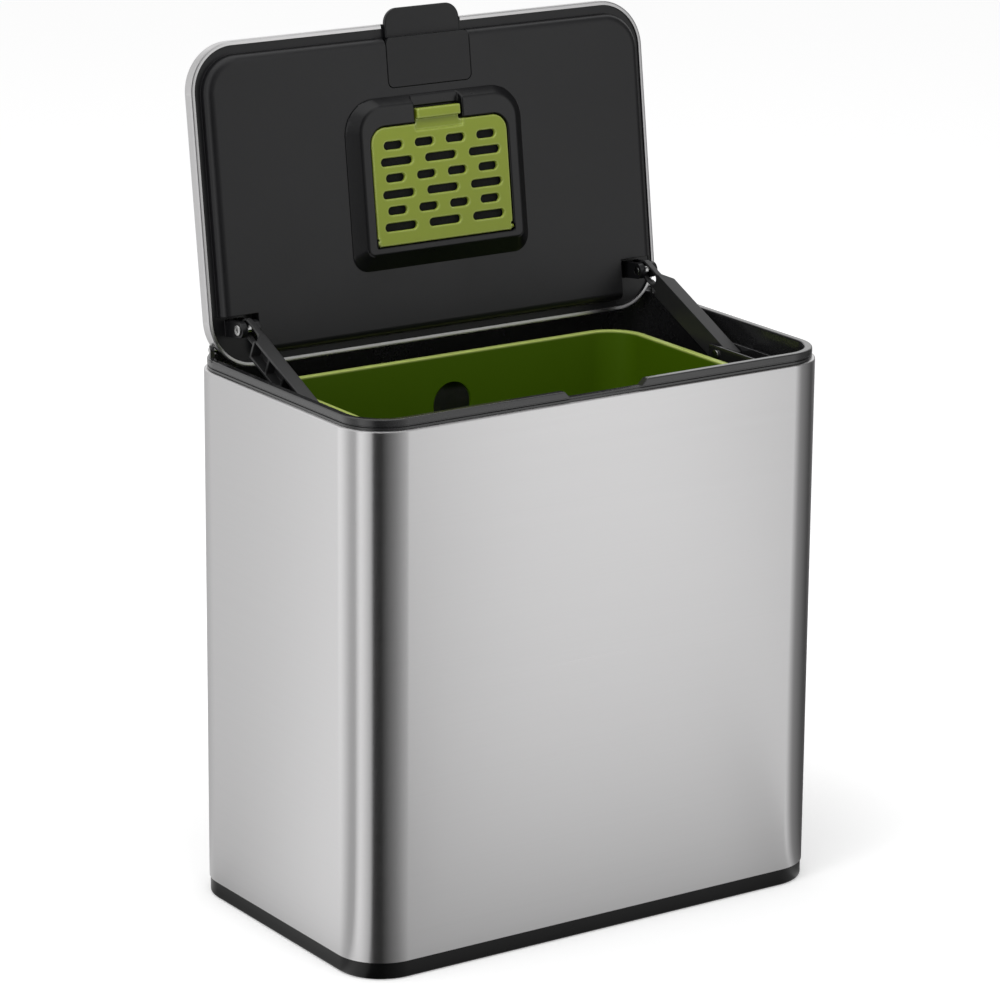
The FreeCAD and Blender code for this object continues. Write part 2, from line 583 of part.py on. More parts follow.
block(bracket, "flange", (f"({FLANGE_OUTER} - dims.bracket_wall)", FLANGE_OUTER), PLATES_Y,
      (PLATE_FOOT, FOOT_Z))
rod(bracket, "pin_bore", "x", "dims.arm_pin_diameter / 2 + dims.press_gap",
    less(PLATE_OUTER, PLATE_INNER), PLATE_INNER, FOOT_Y, FOOT_Z, cut=True)
for index, screw_y in enumerate(SCREW_ROWS):
    rod(bracket, f"screw_hole_{index}", "x", "dims.screw_diameter / 2 + dims.press_gap",
        "dims.bracket_wall", SCREW_SEAT, screw_y, SCREW_Z, cut=True)
mirrored("left_arm_bracket", bracket)

# Pins of the arms' lower ends, headed on both sides of the bracket
arm_pin = new_piece("right_arm_pin")
rod(arm_pin, "shank", "x", "dims.arm_pin_diameter / 2", less(PLATE_OUTER, PLATE_INNER), PLATE_INNER,
    FOOT_Y, FOOT_Z)
for name, start in (("inner_head", f"({PLATE_INNER} - dims.arm_pin_head)"), ("outer_head", PLATE_OUTER)):
    rod(arm_pin, name, "x", "dims.arm_pin_diameter / 2 + dims.head_margin", "dims.arm_pin_head", start,
        FOOT_Y, FOOT_Z)
mirrored("left_arm_pin", arm_pin)

# Bracket screws, two on each side
screws = []
for sign in (-1, 1):
    for screw_y in SCREW_ROWS:
        parts = []
        for radius, start, length in (
            ("dims.screw_head_diameter / 2", f"({SCREW_SEAT} - dims.screw_head)", "dims.screw_head"),
            ("dims.screw_diameter / 2", SCREW_SEAT, "dims.screw_length"),
        ):
            cylinder = doc.addObject("Part::Cylinder", "screw_part")
            turn = FreeCAD.Rotation(FreeCAD.Vector(0, 1, 0), sign * 90)
            cylinder.Placement = FreeCAD.Placement(FreeCAD.Vector(), turn)
            bind(cylinder, Radius=radius, Height=length, Placement__Base__x=f"{sign} * {start}",
                 Placement__Base__y=screw_y, Placement__Base__z=SCREW_Z)
            parts.append(cylinder)
        screw = doc.addObject("Part::Fuse", "screw")
        screw.Base, screw.Tool = parts
        screws.append(screw)
bracket_screws = doc.addObject("Part::Compound", "bracket_screws")
bracket_screws.Links = screws
subparts.append(bracket_screws)

# Lift-out bucket: tapered walls, a lip, a rounded bottom and a round hole in the back wall
bucket = new_piece("bucket")
BUCKET_WIDTH = f"(2 * ({PLATE_INNER} - dims.arm_pin_head - dims.bucket_side_gap))"
BUCKET_TOP = f"({RIM_TOP} - dims.bucket_drop)"
BUCKET_FOOT = "(dims.base_floor + dims.bucket_seat)"
BUCKET_FRONT = f"(-{BACK} + dims.bucket_front)"
BUCKET_BACK = f"({BACK} - dims.bucket_back)"
BUCKET_DEPTH = f"({BUCKET_BACK} - {BUCKET_FRONT})"
BUCKET_Y = half(total(BUCKET_BACK, BUCKET_FRONT))


def bucket_outline(name, amount, z):
    """An outline of the bucket, set in from its rim by an amount."""
    sketch = sketch_at(bucket, name, z, y=BUCKET_Y)
    rounded_outline(sketch, "outline", inset(BUCKET_WIDTH, amount), inset(BUCKET_DEPTH, amount),
                    f"(dims.bucket_corner - ({amount}))")
    return sketch


BUCKET_HEIGHT = f"({BUCKET_TOP} - {BUCKET_FOOT})"
BUCKET_SLOPE = f"atan(dims.bucket_taper / {BUCKET_HEIGHT})"
walls = pad(bucket, bucket_outline("walls", "dims.bucket_lip + dims.bucket_taper", BUCKET_FOOT), BUCKET_HEIGHT)
bind(walls, TaperAngle=BUCKET_SLOPE)
doc.recompute()
pad(bucket, bucket_outline("lip", "0", f"({BUCKET_TOP} - dims.bucket_lip_height)"),
    "dims.bucket_lip_height")
INSIDE = "dims.bucket_lip + dims.bucket_taper + dims.bucket_wall"
inside = pocket(bucket, bucket_outline("inside", INSIDE, f"({BUCKET_FOOT} + dims.bucket_wall)"), BUCKET_HEIGHT)
bind(inside, TaperAngle=BUCKET_SLOPE)
doc.recompute()
soften(bucket, "floor_rounding", "(dims.bucket_sole - dims.bucket_wall)",
       level(f"({BUCKET_FOOT} + dims.bucket_wall)"))
soften(bucket, "sole_rounding", "dims.bucket_sole", level(BUCKET_FOOT))
rod(bucket, "back_hole", "y", "dims.hole_diameter / 2", "(dims.bucket_back + dims.bucket_taper)", "0",
    f"({BUCKET_BACK} - dims.bucket_taper - dims.bucket_wall)", f"({BUCKET_TOP} - dims.hole_drop)", cut=True)

# Lid pan: steel with a rounded edge, a folded hem, a gap for the tab and holes for the pins
lid_pieces = []
pan = new_piece("lid_shell")
lid_pieces.append(pan)
LID_DEPTH = f"({LID_BACK} - {LID_FRONT})"
LID_Y = half(total(LID_BACK, LID_FRONT))


def lid_outline(amount):
    """Width, depth and corner of an outline set in from the lid's edge."""
    return inset(LID_WIDTH, amount), inset(LID_DEPTH, amount), f"(dims.lid_corner - ({amount}))"


plate(pan, "pan", *lid_outline("0"), HEM, "dims.lid_height", y=LID_Y)
soften(pan, "pan_rounding", "dims.lid_edge", level(f"({HEM} + dims.lid_height)"))
hollow(pan, "pan_mouth", *lid_outline("dims.lid_lip"), HEM, "(dims.lid_height - dims.lid_wall)", y=LID_Y)
hollow(pan, "hem_hollow", *lid_outline("dims.lid_wall"), f"({HEM} + dims.lid_wall)",
       "(dims.lid_height - dims.lid_wall - dims.lid_edge)", y=LID_Y)
TAB_TOP = f"({HEM} + dims.lid_wall)"
TAB_HALF = "(dims.tab_width / 2)"
block(pan, "tab_gap", (f"(-{TAB_HALF} - dims.tab_gap)", f"({TAB_HALF} + dims.tab_gap)"),
      (f"({LID_FRONT} - dims.lid_lip)", f"({LID_FRONT} + 2 * dims.lid_lip)"),
      (f"({HEM} - dims.lid_gap)", f"({TAB_TOP} + dims.inlay_gap)"), cut=True)
rod(pan, "pin_holes", "x", "dims.hinge_pin_diameter / 2 + dims.inlay_gap", "dims.body_width",
    f"-{SIDE}", HINGE_Y, HINGE_Z, cut=True)

# Liner: flange, plug panel, corner recesses with the arms' ears, bosses for the lid's pins,
# a well for the filter and a window for the tab's inlaid plate
liner = new_piece("lid_liner")
lid_pieces.append(liner)
FLANGE_FOOT = f"({HEM} + dims.lid_wall)"
FLANGE_TOP = f"({FLANGE_FOOT} + dims.liner_flange)"
plate(liner, "flange", *lid_outline("(dims.lid_wall + dims.fit_gap)"), FLANGE_FOOT, "dims.liner_flange",
      y=LID_Y)
PANEL_BACK = f"({LID_BACK} - dims.panel_inset)"
PANEL_Y = half(total(PANEL_BACK, PANEL_FRONT))
PANEL_DEPTH = f"({PANEL_BACK} - {PANEL_FRONT})"


def panel_outline(amount):
    """Width, depth and corner of an outline set in from the plug panel's edge."""
    return (inset(LID_WIDTH, f"dims.panel_inset + {amount}"), inset(PANEL_DEPTH, amount),
            f"(dims.lid_corner - dims.panel_inset - ({amount}))")


plate(liner, "plug", *panel_outline("0"), PANEL, "(dims.panel_drop + dims.lid_wall)", y=PANEL_Y)
soften(liner, "plug_rounding", "dims.panel_edge", level(PANEL))
hollow(liner, "plug_inside", *panel_outline("dims.liner_wall"), f"({PANEL} + dims.liner_wall)",
       f"({FLANGE_TOP} - {PANEL} - dims.liner_wall)", y=PANEL_Y)

TONGUE_OUTER = f"({ARM_INNER} + dims.tongue_width)"
EAR_INNER = f"({ARM_INNER} - dims.side_play - dims.ear_wall)"
EAR_OUTER = f"({TONGUE_OUTER} + dims.side_play + dims.ear_wall)"
RECESS_INNER = f"({EAR_INNER} - dims.recess_margin)"
RECESS_FRONT = f"({PIVOT_Y} - dims.recess_length)"
PLUG_SIDE = f"({LID_WIDTH} / 2 - dims.panel_inset)"
PIN_INNER = f"({PIN_OUTER} - dims.hinge_pin_length)"
BOSS_END = f"({PIN_INNER} + dims.boss_width)"


def both_sides(low, high):
    """The right-hand and left-hand pairs of a stretch along X."""
    return ("right", (low, high)), ("left", (f"-{high}", f"-{low}"))


for side, across in both_sides(f"({RECESS_INNER} - dims.liner_wall)", f"({PLUG_SIDE} - dims.liner_wall)"):
    block(liner, f"{side}_recess_walls", across,
          (f"({RECESS_FRONT} - dims.liner_wall)", f"({PANEL_BACK} - dims.liner_wall)"),
          (f"({PANEL} + dims.liner_wall)", FLANGE_TOP))
for side, across in both_sides(RECESS_INNER, f"({PLUG_SIDE} + dims.liner_wall)"):
    block(liner, f"{side}_recess", across, (RECESS_FRONT, f"({PANEL_BACK} + dims.liner_wall)"),
          (f"({PANEL} - dims.liner_wall)", f"({FLANGE_TOP} - dims.recess_floor)"), cut=True)
for place, start in (("inner", EAR_INNER), ("outer", f"({EAR_OUTER} - dims.ear_wall)")):
    for side, across in both_sides(start, f"({start} + dims.ear_wall)"):
        block(liner, f"{side}_{place}_ear", across,
              (f"({PIVOT_Y} - dims.ear_radius)", f"({PIVOT_Y} + dims.ear_radius)"),
              (PIVOT_Z, f"({FLANGE_FOOT} + dims.liner_flange / 2)"))
        rod(liner, f"{side}_{place}_eye", "x", "dims.ear_radius", "dims.ear_wall", across[0], PIVOT_Y,
            PIVOT_Z)
for side, across in both_sides(EAR_INNER, EAR_OUTER):
    rod(liner, f"{side}_ear_bore", "x", "dims.arm_pin_diameter / 2 + dims.press_gap",
        less(EAR_OUTER, EAR_INNER), across[0], PIVOT_Y, PIVOT_Z, cut=True)
for side, across in both_sides(PIN_INNER, BOSS_END):
    block(liner, f"{side}_boss", across,
          (f"({HINGE_Y} - dims.boss_radius)", f"({HINGE_Y} + dims.boss_radius)"),
          (f"({FLANGE_TOP} - dims.liner_flange / 2)", f"({HINGE_Z} + dims.boss_radius)"))
for side, across in both_sides(f"({PIN_INNER} - dims.liner_wall)", SIDE):
    rod(liner, f"{side}_boss_bore", "x", "dims.hinge_pin_diameter / 2 + dims.pin_gap",
        less(SIDE, f"({PIN_INNER} - dims.liner_wall)"), across[0], HINGE_Y, HINGE_Z, cut=True)

DOOR_Y = f"({LID_Y} - dims.filter_offset)"
DOOR_BACK = f"({DOOR_Y} + dims.door_length / 2)"
DOOR_FRONT = f"({DOOR_Y} - dims.door_length / 2)"
HOUSING_FACE = f"({PANEL} - dims.housing_height)"
DOOR_FACE = f"({HOUSING_FACE} + dims.door_sink)"
DOOR_INSIDE = f"({DOOR_FACE} + dims.door_thickness)"
PAD_FOOT = f"({DOOR_INSIDE} + dims.pad_clear)"
PAD_TOP = f"({PAD_FOOT} + dims.pad_thickness)"
PAD_BACK = f"({DOOR_BACK} - dims.pad_rear_margin)"
PAD_FRONT = f"({DOOR_FRONT} + dims.pad_margin)"
PAD_WIDTH = inset("dims.door_width", "dims.pad_margin")
PAD_DEPTH = f"({PAD_BACK} - {PAD_FRONT})"
PAD_Y = half(total(PAD_BACK, PAD_FRONT))


def pad_outline(amount):
    """Width, depth and corner of an outline set out from the carbon pad."""
    return (f"({PAD_WIDTH} + 2 * ({amount}))", f"({PAD_DEPTH} + 2 * ({amount}))",
            f"(dims.pad_corner + ({amount}))")


plate(liner, "well_walls", *pad_outline("dims.well_gap + dims.liner_wall"),
      f"({PANEL} + dims.liner_wall / 2)", f"({PAD_TOP} + dims.well_back - {PANEL} - dims.liner_wall / 2)",
      y=PAD_Y)
hollow(liner, "well", *pad_outline("dims.well_gap"), f"({PANEL} - dims.liner_wall)",
       f"({PAD_TOP} - {PANEL} + dims.liner_wall)", y=PAD_Y)
WINDOW = f"(({PAD_WIDTH} - 4 * dims.well_ledge) / 3)"
for index in (-1, 0, 1):
    middle = f"({index} * ({WINDOW} + dims.well_ledge))"
    block(liner, f"well_window_{index + 1}", (f"({middle} - {WINDOW} / 2)", f"({middle} + {WINDOW} / 2)"),
          (f"({PAD_FRONT} + dims.well_ledge)", f"({PAD_BACK} - dims.well_ledge)"),
          (f"({PAD_TOP} - dims.well_back)", f"({PAD_TOP} + 2 * dims.well_back)"), cut=True)
INLAY_FRONT = PANEL_FRONT
INLAY_BACK = f"({PANEL_FRONT} + dims.inlay_length)"
INLAY_HALF = "(dims.inlay_width / 2)"
hollow(liner, "inlay_window", "(dims.inlay_width + 2 * dims.inlay_gap)",
       "(dims.inlay_length + 2 * dims.inlay_gap + dims.panel_edge)", "(dims.inlay_corner + dims.inlay_gap)",
       f"({PANEL} - dims.liner_wall)", f"({FLANGE_FOOT} - {PANEL} + dims.liner_wall)",
       y=f"(({INLAY_BACK} + {PANEL_FRONT} - dims.panel_edge) / 2)")

# Finger tab: an inlaid plate with a hidden ledge, a riser and the tab itself
tab = new_piece("lid_handle")
lid_pieces.append(tab)
plate(tab, "inlay", "dims.inlay_width", "dims.inlay_length", "dims.inlay_corner", PANEL, "dims.liner_wall",
      y=half(total(INLAY_BACK, INLAY_FRONT)))
LEDGE_FRONT = f"({PANEL_FRONT} + dims.liner_wall + dims.inlay_gap)"
block(tab, "ledge", (f"(-{INLAY_HALF} - dims.inlay_ledge)", f"({INLAY_HALF} + dims.inlay_ledge)"),
      (LEDGE_FRONT, f"({INLAY_BACK} + dims.inlay_ledge)"),
      (f"({PANEL} + dims.liner_wall)", f"({PANEL} + dims.liner_wall + dims.inlay_back)"))
block(tab, "riser", (f"-{TAB_HALF}", TAB_HALF), (PANEL_FRONT, f"({PANEL_FRONT} + dims.liner_wall)"),
      (PANEL, TAB_TOP))
TAB_FRONT = f"({LID_FRONT} - dims.tab_overhang)"
TAB_BACK = f"({PANEL_FRONT} + dims.liner_wall)"
plate(tab, "tab", "dims.tab_width", less(TAB_BACK, TAB_FRONT), "dims.tab_corner",
      f"({TAB_TOP} - dims.tab_thickness)", "dims.tab_thickness", y=half(total(TAB_BACK, TAB_FRONT)),
      rear_radius="dims.tab_edge")
front_half = value(f"({LID_FRONT})")
soften(tab, "tab_rounding", "dims.tab_edge",
       lambda box: box.YMin < front_half and box.ZMax - box.ZMin < NEAR)

# Filter housing: a flared frame round the door, with a notch for the latch and hinge holes
housing = new_piece("filter_housing")
lid_pieces.append(housing)
FACE_FRONT = f"({DOOR_FRONT} - dims.housing_front)"
FACE_BACK = f"({DOOR_BACK} + dims.housing_rear)"
FOOT_FRONT = f"({FACE_FRONT} - dims.flare_front)"
FOOT_BACK = f"({FACE_BACK} + dims.flare_rear)"
FACE_WIDTH = "(dims.door_width + 2 * dims.housing_side)"
face_middle = half(total(FACE_FRONT, FACE_BACK))
face = sketch_at(housing, "housing_face", HOUSING_FACE, y=face_middle)
rounded_outline(face, "outline", inset(FACE_WIDTH, "dims.housing_edge"),
                inset(less(FACE_BACK, FACE_FRONT), "dims.housing_edge"),
                "(dims.housing_corner - dims.housing_edge)", "(dims.housing_rear_corner - dims.housing_edge)")
shoulder = sketch_at(housing, "housing_shoulder", f"({HOUSING_FACE} + dims.housing_edge)", y=face_middle)
rounded_outline(shoulder, "outline", FACE_WIDTH, less(FACE_BACK, FACE_FRONT), "dims.housing_corner",
                "dims.housing_rear_corner")
housing_foot = sketch_at(housing, "housing_foot", PANEL, y=half(total(FOOT_FRONT, FOOT_BACK)))
rounded_outline(housing_foot, "outline", f"({FACE_WIDTH} + 2 * dims.flare_side)", less(FOOT_BACK, FOOT_FRONT),
                "dims.housing_foot_corner", "dims.housing_foot_rear_corner")
flared_sides = housing.newObject("PartDesign::AdditiveLoft", "flared_sides")
flared_sides.Profile = face
flared_sides.Sections = [shoulder, housing_foot]
flared_sides.Ruled = True
doc.recompute()
hollow(housing, "door_window", "(dims.door_width + 2 * dims.door_gap)",
       "(dims.door_length + 2 * dims.door_gap)", "(dims.door_corner + dims.door_gap)",
       f"({HOUSING_FACE} - dims.housing_edge)", "(dims.housing_height + 2 * dims.housing_edge)", y=DOOR_Y,
       rear_radius="dims.door_rear_corner")
LATCH_HALF = "(dims.latch_width / 2)"
LATCH_FRONT = f"({DOOR_FRONT} - dims.latch_reach)"
block(housing, "latch_notch",
      (f"(-{LATCH_HALF} - dims.latch_gap)", f"({LATCH_HALF} + dims.latch_gap)"),
      (f"({LATCH_FRONT} - dims.latch_end_gap)", f"({DOOR_FRONT} + dims.door_gap)"),
      (f"({HOUSING_FACE} - dims.housing_edge)", f"({PANEL} + dims.housing_edge)"), cut=True)
block(housing, "latch_gap",
      (f"(-{LATCH_HALF} - dims.latch_gap)", f"({LATCH_HALF} + dims.latch_gap)"),
      (f"({FOOT_FRONT} - dims.housing_edge)", DOOR_FRONT),
      (f"({HOUSING_FACE} - dims.housing_edge)", f"({PANEL} - dims.latch_bridge)"), cut=True)
STUB_Y = f"({DOOR_BACK} - dims.stub_inset)"
STUB_Z = f"({DOOR_INSIDE} - dims.stub_diameter / 2 + dims.pin_gap)"
STUB_REACH = "(dims.door_width / 2 + dims.stub_length)"
rod(housing, "stub_holes", "x", "dims.stub_diameter / 2 + dims.pin_gap",
    f"(2 * {STUB_REACH} + 2 * dims.pin_gap)", f"(-{STUB_REACH} - dims.pin_gap)", STUB_Y, STUB_Z, cut=True)

# Carbon pad in the liner's well
carbon = new_piece("carbon_filter")
lid_pieces.append(carbon)
plate(carbon, "carbon", *pad_outline("0"), PAD_FOOT, "dims.pad_thickness", y=PAD_Y)

# Filter door: a plate with rows of slots, hinge stubs at its rear edge and a finger latch
door = new_piece("filter_cover")
lid_pieces.append(door)
plate(door, "door", "dims.door_width", "dims.door_length", "dims.door_corner", DOOR_FACE,
      "dims.door_thickness", y=DOOR_Y, rear_radius="dims.door_rear_corner")
DOOR_HALF = "(dims.door_width / 2)"
for side, across in both_sides(f"({DOOR_HALF} - dims.door_shoulder)", f"({DOOR_HALF} + dims.door_gap)"):
    block(door, f"{side}_shoulder", across,
          (f"({DOOR_BACK} - dims.shoulder_length)", f"({DOOR_BACK} + dims.door_gap)"),
          (f"({DOOR_FACE} - dims.door_gap)", f"({DOOR_INSIDE} + dims.door_gap)"), cut=True)
rod(door, "stubs", "x", "dims.stub_diameter / 2", twice(STUB_REACH), f"-{STUB_REACH}", STUB_Y, STUB_Z)
ROWS = 6
for index in range(ROWS):
    is_short = index % 2 == 0
    length, pitch, count = (("dims.short_slot", "dims.short_pitch", 4) if is_short
                            else ("dims.long_slot", "dims.long_pitch", 3))
    span = f"({count - 1} * {pitch})"
    row_y = f"({DOOR_FRONT} + dims.slot_first + {index} * dims.slot_pitch)"
    slot = sketch_at(door, f"slot_{index}", DOOR_FACE, x=f"(-{span} / 2)", y=row_y)
    slot_outline(slot, "slot", length, "dims.slot_width")
    first_slot = pocket(door, slot, "dims.door_thickness")
    slot_row = door.newObject("PartDesign::LinearPattern", f"slot_row_{index}")
    slot_row.Originals = [first_slot]
    slot_row.Direction = (slot, ["H_Axis"])
    bind(slot_row, Length=span)
    slot_row.Occurrences = count
    door.Tip = slot_row
    doc.recompute()
ROOT_BACK = f"({DOOR_FRONT} + dims.latch_root)"
block(door, "latch_cut", (f"(-{LATCH_HALF} - dims.latch_gap)", f"({LATCH_HALF} + dims.latch_gap)"),
      (f"({DOOR_FRONT} - dims.door_gap)", ROOT_BACK),
      (f"({DOOR_FACE} - dims.door_gap)", f"({DOOR_INSIDE} - dims.latch_neck / 2)"), cut=True)
NECK_Z = (f"({DOOR_INSIDE} - dims.latch_neck / 2)", f"({DOOR_INSIDE} + dims.latch_neck / 2)")
block(door, "latch_neck", (f"-{LATCH_HALF}", LATCH_HALF), (LATCH_FRONT, f"({ROOT_BACK} + dims.latch_neck)"),
      NECK_Z)
block(door, "latch_lip", (f"-{LATCH_HALF}", LATCH_HALF), (LATCH_FRONT, f"({LATCH_FRONT} + dims.latch_lip)"),
      (f"({DOOR_FACE} - dims.latch_rise)", NECK_Z[1]))

# Rivets between the liner's ears and the arms, with a hollow head on the outer side
rivet = new_piece("right_lid_pin")
lid_pieces.append(rivet)
rod(rivet, "shank", "x", "dims.arm_pin_diameter / 2", less(EAR_OUTER, EAR_INNER), EAR_INNER, PIVOT_Y, PIVOT_Z)
rod(rivet, "head", "x", "dims.arm_pin_diameter / 2 + dims.head_margin", "dims.arm_pin_head", EAR_OUTER,
    PIVOT_Y, PIVOT_Z)
rod(rivet, "bore", "x", "dims.pin_bore / 2", twice("dims.arm_pin_head"),
    f"({EAR_OUTER} - dims.arm_pin_head)", PIVOT_Y, PIVOT_Z, cut=True)
mirrored("left_lid_pin", rivet)

# How the arm follows the lid: places in the side view, and the room that the rivet needs in the slot
hinge = FreeCAD.Vector(0, value(HINGE_Y), value(HINGE_Z))
foot = FreeCAD.Vector(0, value(FOOT_Y), value(FOOT_Z))
pivot_shut = FreeCAD.Vector(0, value(PIVOT_Y), value(PIVOT_Z))
SIDEWAYS = FreeCAD.Vector(1, 0, 0)
open_turn = FreeCAD.Rotation(SIDEWAYS, -value("dims.lid_open_angle"))


def pivot_at(closing):
    """The rivet's place seen from the arm's lower pin, with the lid shut by a share of its swing."""
    turn = FreeCAD.Rotation(SIDEWAYS, -value("dims.lid_open_angle") * (1 - closing))
    return hinge + turn.multVec(pivot_shut - hinge) - foot


def slope(place):
    return math.degrees(math.atan2(place.z, place.y))


STEPS = 40
places = [(step / STEPS, pivot_at(step / STEPS)) for step in range(STEPS + 1)]


def spread(swing):
    """Lowest and highest lean that an arm with this steady swing would need when open."""
    leans = [slope(place) + swing * closing for closing, place in places]
    return min(leans), max(leans)


def width_of(swing):
    lowest, highest = spread(swing)
    return highest - lowest


# The arm's swing is the one that keeps the rivet nearest to the middle of its slot
low, high = 0.0, value("dims.lid_open_angle")
while high - low > NEAR:
    first, second = low + (high - low) / 3, high - (high - low) / 3
    if width_of(first) < width_of(second):
        high = second
    else:
        low = first
arm_swing = (low + high) / 2
arm_angle = sum(spread(arm_swing)) / 2
leans = [math.radians(slope(place) - arm_angle + arm_swing * closing) for closing, place in places]
reaches = [place.Length * math.cos(lean) for (closing, place), lean in zip(places, leans)]
strays = [place.Length * math.sin(lean) for (closing, place), lean in zip(places, leans)]
slot_half = value("dims.arm_pin_diameter / 2 + dims.pin_gap") + max(abs(stray) for stray in strays)
slot_start, slot_end = min(reaches), max(reaches) + value("dims.pin_gap")
channel_end = slot_start - value("dims.ear_radius + dims.channel_gap")
print("arm's swing %.4f degrees, %.5f of the lid's" % (arm_swing, arm_swing / value("dims.lid_open_angle")))
print("rivet strays from the slot's middle by %.2f to %.2f mm" % (min(strays), max(strays)))
print("lid pins at y %.3f z %.3f, arm's lower pin at y %.3f z %.3f" % (hinge.y, hinge.z, foot.y, foot.z))

# Right arm, drawn level with its lower pin at the origin: a ribbed channel and a slotted tongue
arm = new_piece("right_arm")
ACROSS = (ARM_INNER, ARM_OUTER)
CHANNEL = ("-dims.arm_heel", f"{channel_end}")
HEIGHT = ("-dims.arm_below", "dims.arm_above")
FLANGE_FOOT_Z = "(dims.arm_above - dims.arm_flange)"
block(arm, "web", (ARM_INNER, f"({ARM_INNER} + dims.arm_web)"), CHANNEL, HEIGHT)
block(arm, "upper_flange", ACROSS, ("-dims.arm_heel", f"({channel_end} + dims.flange_tip)"),
      (FLANGE_FOOT_Z, "dims.arm_above"))
corner = arm.newObject("PartDesign::SubtractiveWedge", "flange_corner")
bind(corner, Ymin=TONGUE_OUTER, Ymax=ARM_OUTER, Xmin=f"({channel_end} + dims.flange_tip)",
     Xmax=f"({channel_end} + 2 * dims.flange_tip)", X2min=f"({channel_end} - dims.flange_cut)",
     X2max=f"({channel_end} + 2 * dims.flange_tip)", Zmin="-(dims.arm_above + dims.arm_flange)",
     Zmax=f"-{FLANGE_FOOT_Z}", Z2min="-(dims.arm_above + dims.arm_flange)", Z2max=f"-{FLANGE_FOOT_Z}")
corner.Placement = FreeCAD.Placement(FreeCAD.Vector(), FreeCAD.Rotation(FreeCAD.Vector(1, 1, 0), 180))
doc.recompute()
block(arm, "lower_flange", ACROSS, CHANNEL, ("-dims.arm_below", "(-dims.arm_below + dims.arm_flange)"))
block(arm, "end_wall", ACROSS, (f"({channel_end} - dims.arm_flange)", f"{channel_end}"),
      ("-dims.arm_below", FLANGE_FOOT_Z))
rod(arm, "foot_boss", "x", "dims.arm_above", "dims.arm_width", ARM_INNER, "0", "0")
rib_count = int((channel_end - value("dims.arm_above")) / value("dims.rib_pitch"))
for index in range(1, rib_count + 1):
    rib = f"({channel_end} - {index} * dims.rib_pitch)"
    block(arm, f"rib_{index}", (ARM_INNER, f"({ARM_OUTER} - dims.rib_inset)"),
          (f"({rib} - dims.arm_flange)", rib), HEIGHT)
rod(arm, "foot_bore", "x", "dims.arm_pin_diameter / 2 + dims.pin_gap", "dims.arm_width", ARM_INNER, "0",
    "0", cut=True)
tongue_across = (ARM_INNER, TONGUE_OUTER)
tongue_half = f"({slot_half} + dims.tongue_wall)"
block(arm, "tongue", tongue_across, (f"({channel_end} - dims.arm_flange)", f"{slot_end}"),
      (f"-{tongue_half}", tongue_half))
rod(arm, "tongue_end", "x", tongue_half, "dims.tongue_width", ARM_INNER, f"{slot_end}", "0")
block(arm, "tongue_slot", tongue_across, (f"{slot_start}", f"{slot_end}"), (f"-{slot_half}", f"{slot_half}"),
      cut=True)
for index, end in enumerate((slot_start, slot_end)):
    rod(arm, f"slot_end_{index}", "x", f"{slot_half}", "dims.tongue_width", ARM_INNER, f"{end}", "0", cut=True)
mirrored("left_arm", arm)

# The lid swings open about its pins and the arms lean up to meet it
open_lid = FreeCAD.Placement(FreeCAD.Vector(), open_turn, hinge)
for piece in lid_pieces:
    piece.Placement = open_lid
arm.Placement = FreeCAD.Placement(foot, FreeCAD.Rotation(SIDEWAYS, arm_angle))
doc.recompute()

for item in doc.Objects:
    if "Invalid" in item.State or "Error" in item.State:
        raise RuntimeError(f"{item.Label} failed: {item.State}")
for piece in subparts:
    if piece.Shape.isNull() or not piece.Shape.isValid():
        raise RuntimeError(f"{piece.Label} has no valid shape")

os.makedirs("parts", exist_ok=True)
for piece in subparts:
    piece.Shape.exportStep(f"parts/{piece.Label}.step")
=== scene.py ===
import math

import bmesh
import bpy
from mathutils import Euler, Matrix, Vector


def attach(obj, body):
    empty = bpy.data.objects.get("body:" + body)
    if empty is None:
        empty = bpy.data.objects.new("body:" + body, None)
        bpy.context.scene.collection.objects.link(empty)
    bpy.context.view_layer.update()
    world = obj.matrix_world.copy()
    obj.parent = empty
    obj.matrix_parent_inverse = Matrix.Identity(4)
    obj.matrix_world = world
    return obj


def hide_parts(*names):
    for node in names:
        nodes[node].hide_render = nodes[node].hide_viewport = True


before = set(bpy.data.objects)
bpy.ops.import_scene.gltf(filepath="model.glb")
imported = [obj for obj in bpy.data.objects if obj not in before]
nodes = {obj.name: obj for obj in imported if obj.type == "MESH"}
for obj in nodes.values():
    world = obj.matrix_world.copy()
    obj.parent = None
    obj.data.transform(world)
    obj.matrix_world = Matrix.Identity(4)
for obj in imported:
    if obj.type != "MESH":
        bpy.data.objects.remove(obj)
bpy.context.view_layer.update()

# Base tray: one black polypropylene moulding with a fine spark-eroded grain.
# Its band shows below the steel and its upstand is pushed up inside the sleeve.


